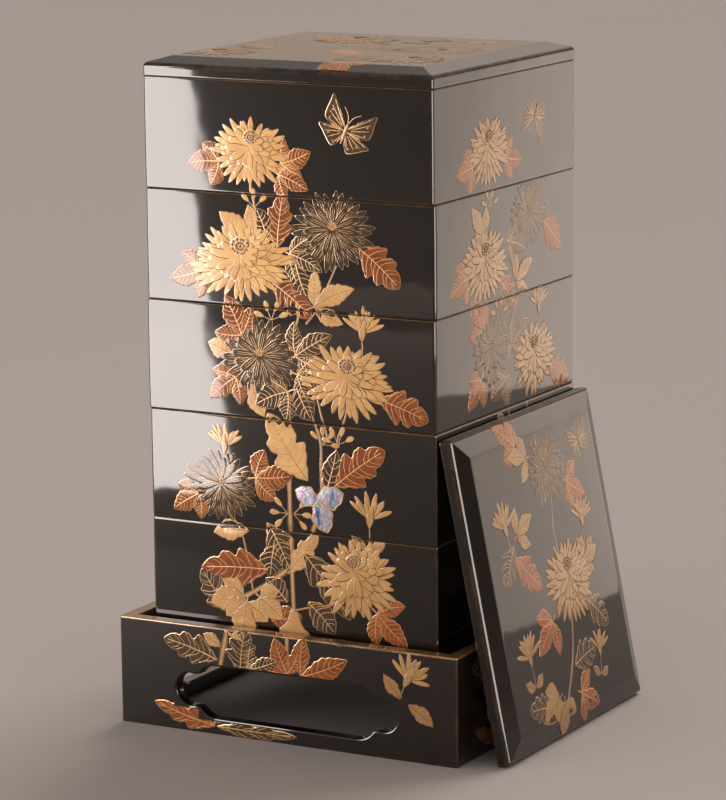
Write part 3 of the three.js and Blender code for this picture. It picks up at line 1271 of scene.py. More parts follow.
# The lid's top and bevels seen from above. turn is for the leaning lid, whose x runs downhill.
def lidWrap(shape, turn=False):

    def wrap(points):
        u, v, h = points.T
        x, y = (shape["width"] / 2 - v, u) if turn else (u, v)
        inset = np.minimum(shape["width"] / 2 - np.abs(x), shape["depth"] / 2 - np.abs(y))
        rise = shape["bevelRise"] * np.clip(inset / shape["bevelWidth"], 0, 1)
        return np.stack([x, y, shape["rim"] + rise + h], 1)

    clear = clearOf["lid"]
    halfX, halfY = shape["width"] / 2 - clear, shape["depth"] / 2 - clear
    return wrap, (-halfY, halfY, clear, shape["width"] - clear) if turn else (-halfX, halfX, -halfY, halfY)


# The stand's rim as a strip that carries on above the face
def rimWrap(shape, side):
    right, out = sides[side]
    halfOut = (shape["depth"] if right[0] else shape["width"]) / 2

    def wrap(points):
        u, v, h = points.T
        away = halfOut - (v - shape["height"])
        return np.stack([right[0] * u + out[0] * away, right[1] * u + out[1] * away, shape["height"] + h], 1)

    half = (shape["width"] if right[0] else shape["depth"]) / 2 - shape["wall"]
    outer, inner = clearOf["rimOuter"], shape["wall"] - clearOf["rimInner"]
    return wrap, (-half, half, shape["height"] + outer, shape["height"] + inner)


# The picture's shapes in one finish, cut to a window of (left, right, low, high)
def cutSheets(picture, layer, window):
    left, right, low, high = window
    points, faces, edges, tones = [], [], [], []
    count = 0
    crossing = False
    for sheet in picture.sheets:
        if sheet["layer"] != layer:
            continue
        p = sheet["points"]
        a, b = p.min(0), p.max(0)
        if b[1] <= low or a[1] >= high or b[0] <= left or a[0] >= right:
            continue
        crossing = crossing or a[1] < low or b[1] > high or a[0] < left or b[0] > right
        points.append(p)
        edges.append(sheet["edge"])
        tones.append(sheet["tone"])
        faces += [tuple(i + count for i in face) for face in sheet["faces"]]
        count += len(p)
    if not points:
        return None
    data = bpy.data.meshes.new("cut")
    data.from_pydata(np.concatenate(points).tolist(), [], faces)
    for name, values in (("edge", edges), ("tone", tones)):
        data.attributes.new(name, "FLOAT", "POINT").data.foreach_set("value", np.concatenate(values))
    if not crossing:
        return data
    mesh = bmesh.new()
    mesh.from_mesh(data)
    for spot, away in (
        ((left, 0, 0), (-1, 0, 0)),
        ((right, 0, 0), (1, 0, 0)),
        ((0, low, 0), (0, -1, 0)),
        ((0, high, 0), (0, 1, 0)),
    ):
        whole = mesh.verts[:] + mesh.edges[:] + mesh.faces[:]
        bmesh.ops.bisect_plane(mesh, geom=whole, plane_co=spot, plane_no=away, clear_outer=True, dist=1e-6)
    mesh.to_mesh(data)
    mesh.free()
    return data


# The names that pieces in each finish carry
layerNames = {"gold": "gold", "russet": "russet", "line": "line", "shell": "inlay"}


# All the work on one piece: spots is a list of (picture, wrap, window)
def layPictures(node, spots):
    place = np.array(standPlace() if node == "stand" else restingPlace(node))
    for layer in layerNames:
        parts = []
        for picture, wrap, window in spots:
            data = cutSheets(picture, layer, window)
            if data is None or not data.vertices:
                continue
            co = np.zeros(len(data.vertices) * 3)
            data.vertices.foreach_get("co", co)
            local = wrap(co.reshape(-1, 3))
            world = local @ place[:3, :3].T + place[:3, 3]
            data.vertices.foreach_set("co", world.ravel())
            parts.append(data)
        if not parts:
            continue
        mesh = bmesh.new()
        for data in parts:
            mesh.from_mesh(data)
            bpy.data.meshes.remove(data)
        bmesh.ops.delete(mesh, geom=[v for v in mesh.verts if not v.link_faces], context="VERTS")
        name = f"{node}_{layerNames[layer]}"
        made = bpy.data.meshes.new(name)
        mesh.to_mesh(made)
        mesh.free()
        made.shade_smooth()
        made.materials.append(finishes[layer])
        piece = bpy.data.objects.new(name, made)
        scene.collection.objects.link(piece)
        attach(piece, "root")


# Finishes of the raised work

goldLook = {
    "pale": linear(192, 153, 90),
    "deep": linear(170, 126, 66),
    "outline": linear(80, 46, 22),
    "shaded": linear(132, 84, 44),
    "metal": (0.4, 0.6),
    "rough": (0.54, 0.64),
    "coat": 0.9,
    "coatRough": 0.1,
    "grain": 0.00005,  # depth of the powder's grain, in metres
}
russetLook = {
    "ground": linear(186, 102, 42),
    "deep": linear(130, 62, 27),
    "line": linear(214, 160, 104),
    "rough": (0.36, 0.52),
    "grain": 0.00004,
}
lineLook = {
    "ground": linear(56, 44, 33),
    "dust": linear(134, 104, 72),
    "line": linear(206, 166, 116),
    "rough": (0.4, 0.42),  # of the ground and of the lines
    "grain": 0.00004,
}
shellLook = {
    "bands": (
        (0.30, linear(84, 124, 170)),
        (0.42, linear(188, 204, 216)),
        (0.50, linear(196, 158, 188)),
        (0.58, linear(188, 204, 216)),
        (0.68, linear(96, 178, 168)),
    ),
    "crack": linear(58, 54, 60),
    "crackScale": 190,
    "crackWidth": 0.045,
}
underLacquer = {"Coat Weight": 0.85, "Coat Roughness": 0.06, "Specular IOR Level": 0.04}


def makeGold():
    s = Shading("gold_lacquer")
    look = goldLook
    cloud = s.noise(70, 4, 0.6)
    grain = s.noise(3200, 2, 0.7)
    base = s.mixed(s.scaled(cloud, 0, 1, 0.3, 0.7), look["pale"], look["deep"])
    base = s.mixed(s.scaled(grain, 0.35, 0, 0.3, 0.62), base, look["outline"])
    base = s.mixed(s.maths("MULTIPLY", s.attribute("tone"), 0.7), base, look["shaded"])
    border = s.scaled(s.attribute("edge"), 0, 0.9, 0.1, 0.5)
    return s.finished({
        "Base Color": s.mixed(border, base, look["outline"]),
        "Metallic": s.scaled(grain, *look["metal"]),
        "Roughness": s.scaled(cloud, *look["rough"]),
        "Normal": s.bump(grain, look["grain"], 0.7),
        "Coat Weight": look["coat"],
        "Coat Roughness": look["coatRough"],
    })


def makeRusset():
    s = Shading("russet_lacquer")
    look = russetLook
    cloud = s.noise(90, 4, 0.6)
    grain = s.noise(2800, 2, 0.7)
    base = s.mixed(s.scaled(cloud, 0, 1, 0.3, 0.7), look["ground"], look["deep"])
    dusted = s.maths("MULTIPLY", s.attribute("tone"), s.scaled(grain, 0.2, 0.9, 0.35, 0.6))
    base = s.mixed(dusted, base, goldLook["deep"])
    base = s.mixed(s.scaled(grain, 0, 0.55, 0.52, 0.68), base, goldLook["deep"])
    border = s.scaled(s.attribute("edge"), 0, 0.95, 0.25, 0.6)
    return s.finished({
        "Base Color": s.mixed(border, base, look["line"]),
        "Metallic": s.scaled(border, 0.0, 0.35),
        "Roughness": s.scaled(grain, *look["rough"]),
        "Normal": s.bump(grain, look["grain"], 0.6),
        **underLacquer,
    })


def makeLine():
    s = Shading("line_lacquer")
    look = lineLook
    cloud = s.noise(80, 4, 0.6)
    grain = s.noise(3000, 2, 0.7)
    dust = s.maths("MULTIPLY", s.scaled(grain, 0, 1, 0.48, 0.64), s.scaled(cloud, 0.3, 1, 0.35, 0.65))
    base = s.mixed(dust, look["ground"], look["dust"])
    dusted = s.maths("MULTIPLY", s.attribute("tone"), s.scaled(grain, 0, 0.8, 0.45, 0.62))
    base = s.mixed(dusted, base, goldLook["deep"])
    border = s.scaled(s.attribute("edge"), 0, 0.95, 0.3, 0.62)
    return s.finished({
        "Base Color": s.mixed(border, base, look["line"]),
        "Metallic": s.scaled(border, 0.05, 0.45),
        "Roughness": s.blended(border, *look["rough"]),
        "Normal": s.bump(grain, look["grain"], 0.6),
        **underLacquer,
    })


def makeShell():
    s = Shading("shell_inlay")
    look = shellLook
    stretch = s.feedAll(s.add("ShaderNodeMapping"), {"Scale": (1, 1, 0.35), "Vector": s.place})
    streak = s.noise(150, 3, 0.55, stretch.outputs["Vector"])
    cracks = s.add("ShaderNodeTexVoronoi", feature="DISTANCE_TO_EDGE")
    s.feedAll(cracks, {"Scale": look["crackScale"], "Vector": s.place})
    gap = s.scaled(cracks.outputs["Distance"], 0.9, 0, 0.0, look["crackWidth"])
    return s.finished({
        "Base Color": s.mixed(gap, s.ramp(streak, *look["bands"]), look["crack"]),
        "Metallic": s.scaled(gap, 0.75, 0.0),
        "Roughness": s.scaled(streak, 0.12, 0.34),
        "Normal": s.bump(streak, 0.0002, 0.5),
        "Coat Weight": 0.5,
        "Coat Roughness": 0.08,
    })


finishes = {"gold": makeGold(), "russet": makeRusset(), "line": makeLine(), "shell": makeShell()}
print("gold, russet, line and shell finishes mixed")


# The pictures. Each is laid out in millimetres from the middle of its face, with up from the floor.


def frontPicture():
    p = Picture()
    # top tier
    leaf(p, "russet", -48, 405, 30, 25, 186, 18, "broad")
    leaf(p, "russet", -8, 404, 30, 23, 22, 20, "broad")
    leaf(p, "russet", -10, 400, 30, 21, -24, -16, "broad")
    stem(p, ((-27, 402), (-28, 388), (-26, 376), (-24, 366)), 2.4, 2.6, (0.4,))
    blossom(p, "gold", -28, 412, 32, 26, 0.76, -4, 1)
    butterfly(p, 47, 430, 23, -24)
    # second tier
    budCluster(p, -26, 374, 90, 0.95, 3)
    leaf(p, "russet", -8, 347, 38, 24, 82, -14, "long", (0.25, 0))
    leaf(p, "line", -16, 352, 24, 17, 112, 20, "small")
    leaf(p, "gold", -22, 350, 38, 26, 148, -12, "broad")
    leaf(p, "russet", -62, 330, 34, 25, 196, -10, "broad", (0.3, 0.0))
    leaf(p, "russet", 54, 352, 42, 27, -40, -14, "long")
    stem(p, ((38, 338), (30, 322), (22, 306), (14, 296)), 1.8, 2.4, (0.5,))
    stem(p, ((2, 322), (6, 312), (8, 300), (4, 288), (2, 260)), 2.2, 2.8, (0.3,))
    leaf(p, "line", -4, 346, 34, 20, -24, -26, "broad")
    leaf(p, "line", 6, 338, 26, 18, -70, 16, "small")
    leaf(p, "gold", 14, 306, 42, 24, 24, -22, "broad")
    leaf(p, "russet", -14, 324, 40, 25, -36, -12, "long", (0.0, 0.25))
    blossom(p, "line", 35, 361, 33, 24, 0.84, 8, 2)
    blossom(p, "gold", -37, 335, 42, 32, 0.66, 3, 3)
    # third tier
    budCluster(p, -13, 297, 92, 1.0, 4)
    leaf(p, "russet", -34, 280, 36, 28, 118, 14, "broad")
    leaf(p, "russet", -38, 258, 32, 24, 218, 16, "broad", (0.2, 0))
    leaf(p, "gold", -44, 270, 22, 17, 158, 10, "small")
    leaf(p, "gold", -30, 252, 26, 17, -66, 14, "small")
    leaf(p, "line", 0, 270, 40, 24, 30, -14, "broad", (0, 0.4))
    leaf(p, "line", 2, 262, 32, 22, -18, -16, "broad")
    leaf(p, "line", 4, 250, 34, 28, 204, 24, "broad")
    leaf(p, "line", 6, 252, 26, 20, -62, 20, "small")
    leaf(p, "russet", 70, 248, 40, 26, -18, -12, "long")
    stem(p, ((22, 246), (26, 230), (30, 216)), 2.0, 2.4, (0.6,))
    stem(p, ((14, 246), (18, 232), (24, 214), (24, 196)), 2.2, 3.4, (0.5,))
    stem(p, ((46, 248), (44, 234), (38, 220), (36, 210)), 2.0, 2.2, (0.5,))
    blossom(p, "line", -23, 270, 32, 22, 0.9, -6, 4)
    blossom(p, "gold", 45, 258, 37, 27, 0.74, -5, 5)
    sideFlower(p, 58, 293, 18, 86)
    # fourth tier
    budCluster(p, 26, 213, 70, 0.9, 4)
    budCluster(p, 38, 214, 96, 0.95, 4)
    leaf(p, "russet", -34, 184, 36, 28, 8, 12, "broad")
    leaf(p, "russet", -70, 172, 30, 24, 212, 12, "broad", (0.6, 0.1))
    stem(p, ((-54, 172), (-50, 158), (-42, 148), (-36, 128), (-32, 104)), 1.8, 2.4, (0.3,))
    stem(p, ((1, 246), (0, 224), (-1, 190), (-1, 150), (0, 112), (1, 78)), 4.2, 5.4, (0.33, 0.62))
    branch = ((24, 200), (24, 178), (20, 160), (12, 142), (-4, 122), (-26, 106), (-48, 94))
    stem(p, branch, 3.2, 5.4, (0.4, 0.7))
    budCluster(p, -3, 162, 180, 1.0, 3)
    budCluster(p, 2, 162, 0, 1.0, 3)
    leaf(p, "gold", 14, 186, 56, 31, 124, -14, "long")
    leaf(p, "line", 27, 178, 34, 17, 74, 10, "small", (0, 0.3))
    leaf(p, "russet", 34, 184, 50, 28, 36, -10, "long")
    blossom(p, "line", -56, 177, 30, 22, 0.86, 5, 6)
    sideFlower(p, -53, 205, 17, 92, 7, 8, leaves=False)
    sideFlower(p, 62, 164, 19, 84, 7, 9)
    shellLeaf(p, 21, 172, 22, -70)
    # lowest tier
    leaf(p, "gold", -34, 146, 30, 17, 188, 24, "small", 0.1)
    leaf(p, "line", -20, 154, 40, 23, -62, -16, "long", (0.3, 0))
    leaf(p, "line", -14, 140, 26, 20, -98, 10, "small")
    leaf(p, "russet", -18, 120, 56, 28, 184, 8, "long")
    leaf(p, "line", -50, 86, 38, 24, 128, -12, "long", (0.5, 0))
    leaf(p, "line", -4, 98, 24, 18, 138, 12, "small", (0, 0.4))
    leaf(p, "line", 6, 138, 62, 23, -50, -8, "long")
    leaf(p, "line", 12, 100, 30, 21, -44, -14, "small", (0.4, 0.1))
    leaf(p, "gold", -4, 118, 40, 18, 50, -8, "long", (0.0, 0.2))
    leaf(p, "russet", 62, 102, 38, 25, -42, 14, "broad")
    stem(p, ((46, 106), (30, 100), (12, 96), (-8, 90)), 1.6, 2.4, (0.5,))
    blossom(p, "gold", 51, 120, 32, 24, 0.96, 10, 7)
    leaf(p, "gold", -34, 100, 34, 30, 196, 18, "broad", 0.05)
    leaf(p, "gold", -36, 100, 34, 32, 262, 10, "broad", 0.0, 0.12)
    leaf(p, "gold", -30, 102, 28, 26, -38, -12, "broad", 0.05, 0.06)
    leaf(p, "russet", -18, 84, 26, 20, 12, 10, "small")
    mound(p, 1)
    return p


def rightPicture():
    p = Picture()
    leaf(p, "russet", -46, 403, 30, 24, 190, 14, "broad")
    leaf(p, "russet", -6, 404, 30, 23, -8, 14, "broad")
    stem(p, ((-27, 400), (-27, 388), (-27, 374)), 2.4, 2.6, (0.5,))
    blossom(p, "gold", -27, 411, 31, 26, 0.8, 4, 11)
    butterfly(p, 44, 428, 21, 156)
    budCluster(p, -27, 372, 90, 0.95, 4)
    leaf(p, "gold", -32, 350, 34, 23, 132, -12, "broad")
    leaf(p, "russet", -58, 330, 32, 24, 204, 10, "broad")
    leaf(p, "russet", 56, 352, 38, 25, -38, -10, "long")
    leaf(p, "line", -2, 346, 34, 20, -20, -20, "broad")
    leaf(p, "gold", 8, 312, 36, 22, 26, -16, "broad")
    leaf(p, "russet", -14, 322, 38, 24, -40, 10, "long")
    stem(p, ((34, 340), (26, 320), (16, 300), (4, 282), (2, 262)), 1.8, 2.8, (0.5,))
    blossom(p, "line", 35, 360, 31, 24, 0.84, 4, 12)
    blossom(p, "gold", -35, 333, 36, 28, 0.72, -4, 13)
    budCluster(p, -12, 294, 90, 1.0, 4)
    leaf(p, "russet", -34, 284, 34, 26, 128, 12, "broad")
    leaf(p, "russet", -36, 256, 32, 24, 222, 12, "broad")
    leaf(p, "line", 2, 268, 38, 24, 26, -14, "broad")
    leaf(p, "line", 4, 250, 32, 26, 206, 20, "broad")
    leaf(p, "russet", 66, 246, 38, 25, -24, -12, "long")
    blossom(p, "line", -24, 273, 30, 22, 0.88, -6, 14)
    blossom(p, "gold", 44, 256, 34, 26, 0.78, 4, 15)
    sideFlower(p, 51, 292, 17, 90)
    stem(p, ((4, 248), (2, 224), (0, 190), (-2, 150), (-1, 112), (0, 78)), 3.8, 5.2, (0.35, 0.66))
    stem(p, ((34, 238), (28, 214), (22, 190), (10, 164), (-4, 142)), 2.4, 4.2, (0.4,))
    leaf(p, "gold", 14, 188, 48, 28, 128, -12, "long")
    leaf(p, "russet", 30, 190, 46, 27, 30, -10, "long")
    leaf(p, "russet", -10, 176, 38, 26, 186, 12, "broad")
    sideFlower(p, 60, 166, 18, 84, 7, 9)
    blossom(p, "line", -58, 180, 29, 22, 0.86, 5, 16)
    leaf(p, "line", -6, 140, 44, 24, -46, -10, "long")
    leaf(p, "russet", -12, 118, 50, 27, 186, 10, "long")
    leaf(p, "gold", -8, 104, 34, 26, 240, 10, "broad")
    blossom(p, "gold", 50, 118, 31, 24, 0.94, -8, 17)
    leaf(p, "russet", 62, 98, 34, 24, -36, 12, "broad")
    mound(p, 0)
    return p


# The sides that face away: the same plants, fewer and further apart. m is -1 for the mirrored one.
def plainPicture(m, seed):
    p = Picture()

    def at(x):
        return x * m

    def heading(angle):
        return angle if m > 0 else 180 - angle

    trunk = ((at(10), 78), (at(6), 130), (at(-4), 190), (at(-2), 250), (at(-16), 310), (at(-20), 352))
    stem(p, trunk, 5.0, 2.4, (0.3, 0.6))
    stem(p, ((at(4), 150), (at(22), 180), (at(34), 214), (at(38), 246)), 3.6, 2.2, (0.5,))
    stem(p, ((at(-4), 196), (at(-26), 214), (at(-44), 232), (at(-52), 252)), 3.0, 2.0, (0.5,))
    leaf(p, "russet", at(6), 126, 46, 27, heading(168), 10 * m, "long")
    leaf(p, "gold", at(8), 112, 40, 26, heading(20), 12 * m, "broad")
    leaf(p, "line", at(4), 160, 40, 24, heading(152), -12 * m, "long")
    leaf(p, "russet", at(24), 184, 42, 26, heading(14), 12 * m, "long")
    leaf(p, "gold", at(-8), 206, 36, 25, heading(60), 12 * m, "broad")
    leaf(p, "line", at(-46), 236, 34, 24, heading(196), -12 * m, "broad")
    leaf(p, "russet", at(-10), 290, 38, 26, heading(28), 12 * m, "broad")
    leaf(p, "gold", at(-14), 306, 36, 24, heading(160), -10 * m, "broad")
    leaf(p, "russet", at(-34), 350, 32, 24, heading(196), 10 * m, "broad")
    leaf(p, "russet", at(2), 352, 32, 24, heading(-12), -10 * m, "broad")
    blossom(p, "gold", at(-18), 362, 32, 26, 0.78, 4 * m, seed)
    blossom(p, "gold", at(40), 262, 34, 26, 0.76, -4 * m, seed + 1)
    blossom(p, "line", at(-52), 270, 30, 22, 0.88, 3 * m, seed + 2)
    sideFlower(p, at(60), 206, 17, heading(84), 7, seed)
    sideFlower(p, at(-58), 160, 17, heading(96), 7, seed + 1)
    budCluster(p, at(38), 300, heading(80), 1.0, 4)
    butterfly(p, at(50), 420, 21, 20 * m)
    mound(p, at(10))
    return p


def lidPicture():
    p = Picture()
    stem(p, ((-90, -60), (-60, -30), (-20, -12), (24, -10), (60, -20)), 3.6, 2.2, (0.4, 0.7))
    stem(p, ((-40, -20), (-30, 10), (-34, 40)), 2.6, 2.0, (0.5,))
    leaf(p, "gold", -56, -30, 44, 28, 150, 12, "long")
    leaf(p, "russet", 34, -84, 34, 24, -72, 14, "broad")
    leaf(p, "russet", -10, -16, 42, 27, -50, -12, "long")
    leaf(p, "gold", 8, -10, 40, 26, 50, 12, "broad")
    leaf(p, "line", -34, 6, 40, 25, 30, -12, "long")
    leaf(p, "russet", -44, 50, 36, 26, 150, 12, "broad")
    leaf(p, "gold", 44, -52, 36, 26, -130, 12, "broad")
    blossom(p, "gold", -34, 52, 34, 26, 0.8, 6, 21)
    blossom(p, "line", 58, 8, 31, 24, 0.84, 8, 22)
    blossom(p, "gold", 66, -56, 32, 26, 0.78, -8, 23)
    blossom(p, "gold", -84, -62, 30, 24, 0.8, 4, 24)
    sideFlower(p, 20, 62, 17, 80)
    budCluster(p, -6, 26, 80, 1.0, 4)
    butterfly(p, 62, 66, 21, 30)
    return p


def spareLidPicture():
    p = Picture()
    leaf(p, "russet", -24, 203, 34, 26, 138, 14, "broad")
    leaf(p, "gold", -8, 196, 34, 22, 172, 14, "broad")
    leaf(p, "russet", 36, 172, 34, 24, -28, 12, "broad")
    blossom(p, "line", 13, 184, 30, 24, 0.86, 4, 31)
    butterfly(p, 70, 194, 20, 18)
    stem(p, ((14, 164), (8, 140), (12, 112)), 1.8, 2.2, (0.5,))
    leaf(p, "line", -54, 142, 34, 24, 232, 12, "long")
    leaf(p, "russet", -54, 134, 42, 26, -42, 12, "long")
    leaf(p, "gold", -52, 146, 34, 22, 20, -14, "broad")
    sideFlower(p, -62, 156, 20, 98, 9, 32, leaves=False)
    sideFlower(p, 54, 140, 18, 82, 9, 33)
    leaf(p, "line", 40, 84, 36, 24, -42, -10, "long")
    leaf(p, "russet", -12, 84, 40, 26, 214, 12, "broad")
    leaf(p, "gold", 40, 110, 30, 22, 16, 12, "broad")
    stem(p, ((14, 84), (8, 62), (-2, 42), (-16, 22), (-24, 4)), 3.2, 4.6, (0.5,))
    blossom(p, "gold", 18, 102, 37, 28, 0.8, -5, 34)
    sideFlower(p, -60, 64, 19, 94, 9, 35)
    leaf(p, "line", 4, 44, 38, 25, 8, -12, "long")
    sideFlower(p, 46, 46, 16, 76, 7, 36)
    leaf(p, "line", -40, 24, 34, 22, 172, 14, "long")
    leaf(p, "gold", -22, 30, 36, 30, 204, 14, "broad")
    leaf(p, "gold", -20, 28, 30, 26, 262, 10, "broad", 0.05, 0.1)
    leaf(p, "russet", 2, 26, 36, 24, -26, 12, "broad")
    return p


# Round a stand's opening: growth over the top edge, a spray at one end, leaves along the foot
def standPicture(halfAcross, full):
    p = Picture()
    stem(p, ((-46, 90), (-47, 74), (-50, 60), (-53, 46)), 5.2, 5.6, (0.55,))
    stem(p, ((2, 90), (2, 76), (2, 62)), 5.4, 4.6)
    leaf(p, "gold", -51, 64, 17, 11, 152, 10, "small")
    leaf(p, "line", -54, 54, 46, 23, 166, 14, "long", (0.1, 0.5))
    leaf(p, "line", -36, 46, 34, 26, 82, -12, "long")
    leaf(p, "line", -34, 48, 32, 20, 22, 12, "broad")
    leaf(p, "russet", 4, 46, 32, 24, 112, -14, "broad")
    leaf(p, "russet", 6, 47, 48, 27, 24, 14, "broad")
    leaf(p, "gold", -54, 92, 46, 26, -8, 8, "broad")
    leaf(p, "russet", -14, 90, 26, 20, -12, 8, "small")
    leaf(p, "line", 30, 92, 30, 20, -24, 10, "small")
    if full:
        sideFlower(p, halfAcross - 38, 58, 19, 62, 9, 41, leaves=False)
        leaf(p, "gold", halfAcross - 42, 44, 22, 11, 132, -20, "small", 0.4)
        leaf(p, "gold", halfAcross - 38, 40, 24, 13, -34, -24, "small", 0.4)
    leaf(p, "russet", -halfAcross + 78, 6, 52, 17, 166, -10, "long", (0, 0.3))
    leaf(p, "line", -halfAcross + 78, 6, 66, 12, 0, 2, "long", (0.2, 0.6))
    leaf(p, "line", -halfAcross + 76, 7, 26, 12, 30, -50, "small", (0.2, 0.6))
    return p


standEdges = {"topArris": standShape["arris"], "footArris": standShape["arris"], "barrel": 0.0}
uprightStand = {**standShape, **standEdges}
facePictures = {
    "front": frontPicture(),
    "right": rightPicture(),
    "back": plainPicture(1, 51),
    "left": plainPicture(-1, 61),
}
print("pictures drawn:", sum(len(p.sheets) for p in facePictures.values()), "shapes")

for number in range(1, 6):
    node = f"tier_{number}"
    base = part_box(node)[0].z / mm
    spots = []
    for side, picture in facePictures.items():
        wrap, window = uprightWrap(tierShape, tierShape["height"], side, base)
        spots.append((picture, wrap, window))
    layPictures(node, spots)
layPictures("lid", [(lidPicture(), *lidWrap(lidShape))])
layPictures("spare_lid", [(spareLidPicture(), *lidWrap(lidShape, turn=True))])

# How the windows round a stand's opening keep clear of it, and where they narrow towards its end lobes
roundOpening = {"pastEnds": 2, "clear": 0.2, "lobeLength": 20, "lobeNarrower": 7.3}


# The parts of a stand's face beside, over and under its opening
def openingWindows(face, halfAcross):
    s, keep = standShape, roundOpening
    left, right, low, high = face
    half = halfAcross - s["openingEndMargin"] + keep["pastEnds"]
    inner = half - keep["lobeLength"]
    tall = s["openingHalfHeight"] + s["edgeRounding"] + keep["clear"]
    lobe = tall - keep["lobeNarrower"]
    middle = s["openingMiddle"]
    windows = [(left, -half, low, high), (half, right, low, high)]
    windows += [(-inner, inner, middle + tall, high), (-inner, inner, low, middle - tall)]
    for start, end in ((-half, -inner), (inner, half)):
        windows += [(start, end, low, middle - lobe), (start, end, middle + lobe, high)]
    return windows


standSpots = []
for side in sides:
    across = standShape["width"] if sides[side][0][0] else standShape["depth"]
    picture = standPicture(across / 2, side in ("front", "right"))
    wrap, face = uprightWrap(uprightStand, standShape["height"], side, 0)
    standSpots += [(picture, wrap, window) for window in openingWindows(face, across / 2)]
    standSpots.append((picture, *rimWrap(standShape, side)))
layPictures("stand", standSpots)
print("pictures laid on")

# Studio: a pale floor that rises far away, and soft lights

studio = {
    "floorRadius": 11.0,
    "sweepRadius": 2.5,
    "wallTop": 4.5,
    "ringSegments": 96,
    "sweepSteps": 12,
    "paint": (179, 172, 169),
    "paintShade": (150, 138, 130),
    "sky": (236, 226, 220),
    "skyStrength": 0.56,
    "mainFrom": (0.2, 1.6, 2.1),
    "mainStrength": 1.65,
    "mainSpread": 34,  # degrees across, for soft shadows
    "mainTint": (255, 246, 238),
}


def addStudioFloor():
    reach, sweep, steps = studio["floorRadius"], studio["sweepRadius"], studio["sweepSteps"]
    profile = [(reach * k, 0.0) for k in (0.15, 0.4, 0.7, 1)]
    for i in range(1, steps + 1):
        angle = math.pi / 2 * i / steps
        profile.append((reach + sweep * math.sin(angle), sweep * (1 - math.cos(angle))))
    profile.append((profile[-1][0], studio["wallTop"]))
    mesh = bmesh.new()
    turns = [2 * math.pi * i / studio["ringSegments"] for i in range(studio["ringSegments"])]
    rings = [[mesh.verts.new((r * math.cos(a), r * math.sin(a), z)) for a in turns] for r, z in profile]
    mesh.faces.new(rings[0])
    skinRings(mesh, rings[::-1])  # from the outside in, so that the faces look up and inwards
    made = finishMesh(mesh, "studio_floor", Matrix.Identity(4))
    s = Shading("studio_paint")
    shade = s.scaled(s.noise(1.3, 3), 0.0, 0.12)
    made.data.materials.append(s.finished({
        "Base Color": s.mixed(shade, linear(*studio["paint"]), linear(*studio["paintShade"])),
        "Roughness": 0.85,
        "Specular IOR Level": 0.2,
        "Normal": s.bump(s.noise(700, 2), 0.0002, 0.15),
    }))


def addSky():
    world = bpy.data.worlds.new("studio_sky")
    world.use_nodes = True
    background = world.node_tree.nodes["Background"]
    background.inputs["Color"].default_value = linear(*studio["sky"])
    background.inputs["Strength"].default_value = studio["skyStrength"]
    scene.world = world


# An area light whose face is that many times as bright as white paper in full light.
# fade lists (share of the width, strength) from its left to its right, as it is seen lit.
def addSoftbox(name, centre, aim, size, luminance, tint, roll=0, fade=None, inDiffuse=True, inGlossy=True):
    width, height = size
    data = bpy.data.lights.new(name, "AREA")
    data.shape = "RECTANGLE"
    data.size = width
    data.size_y = height
    data.energy = luminance * math.pi * width * height
    data.color = linear(*tint)[:3]
    light = bpy.data.objects.new(name, data)
    facing = (Vector(aim) - Vector(centre)).to_track_quat("-Z", "Y").to_matrix().to_4x4()
    light.matrix_world = Matrix.Translation(centre) @ facing @ Matrix.Rotation(math.radians(roll), 4, "Z")
    light.visible_camera = False
    light.visible_diffuse = inDiffuse
    light.visible_glossy = inGlossy
    scene.collection.objects.link(light)
    if fade:
        fadeAcross(data, light.matrix_world, width, fade)


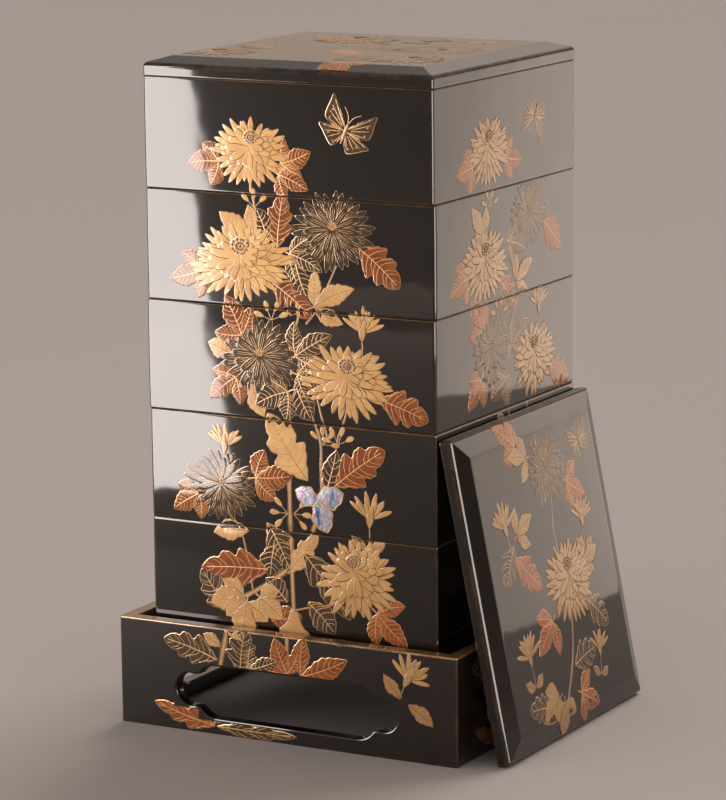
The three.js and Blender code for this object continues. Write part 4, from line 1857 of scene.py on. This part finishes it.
def fadeAcross(data, place, width, fade):
    data.use_nodes = True
    n = NodeTree(data.node_tree)
    across = place.to_3x3().col[0]
    middle = place.translation.dot(across)
    spot = n.add("ShaderNodeNewGeometry").outputs["Position"]
    along = n.feedAll(n.add("ShaderNodeVectorMath", operation="DOT_PRODUCT"), {0: spot, 1: across})
    share = n.scaled(along.outputs["Value"], 0.0, 1.0, middle + width / 2, middle - width / 2)
    n.feed(n.tree.nodes["Emission"].inputs["Strength"], n.ramp(share, *fade))


def addMainLight():
    data = bpy.data.lights.new("main_light", "SUN")
    data.energy = studio["mainStrength"]
    data.angle = math.radians(studio["mainSpread"])
    data.color = linear(*studio["mainTint"])[:3]
    light = bpy.data.objects.new("main_light", data)
    facing = (-Vector(studio["mainFrom"])).to_track_quat("-Z", "Y").to_matrix().to_4x4()
    light.matrix_world = Matrix.Translation(studio["mainFrom"]) @ facing
    light.visible_glossy = False
    scene.collection.objects.link(light)


addStudioFloor()
addSky()
addMainLight()
# The panel that shows in the left part of the front, upright and facing straight back
addSoftbox(
    "front_panel", (-0.856, -0.618, 0.331), (-0.856, 1, 0.331), (0.90, 0.70), 15.0, (255, 244, 240), 7.8,
    inDiffuse=False,
)
# The large panel that shows in the right-hand faces, dimmer towards its near end
addSoftbox(
    "right_panel", (0.75, 0.95, 0.323), (0.05, 0.0, 0.30), (0.9, 0.634), 2.15, (255, 236, 219),
    fade=((0.25, 1.0), (0.32, 0.88), (0.39, 0.66), (0.45, 0.54), (0.55, 0.48)), inDiffuse=False,
)
# A soft light on the right that brings up the gold there
addSoftbox("right_fill", (1.55, 0.3, 0.45), (0, 0, 0.28), (0.9, 0.8), 0.9, (255, 236, 212), inGlossy=False)
# The same for the front, from low on the left
addSoftbox("front_fill", (-0.9, -1.7, 0.4), (0, -0.1, 0.3), (1.0, 0.8), 3.0, (255, 240, 226), inGlossy=False)
# A narrow light beyond the right-hand side that shows only along the rounded edges
addSoftbox(
    "edge_light", (1.57, -0.556, 0.37), (0.15, -0.1, 0.25), (1.1, 0.8), 10.0, (255, 246, 240), inDiffuse=False
)
# The broad panel far behind that shows in the lid
addSoftbox("back_panel", (-0.95, 2.2, 1.15), (0, 0, 0.47), (2.4, 1.2), 0.32, (255, 226, 198), inDiffuse=False)
print("studio lit")
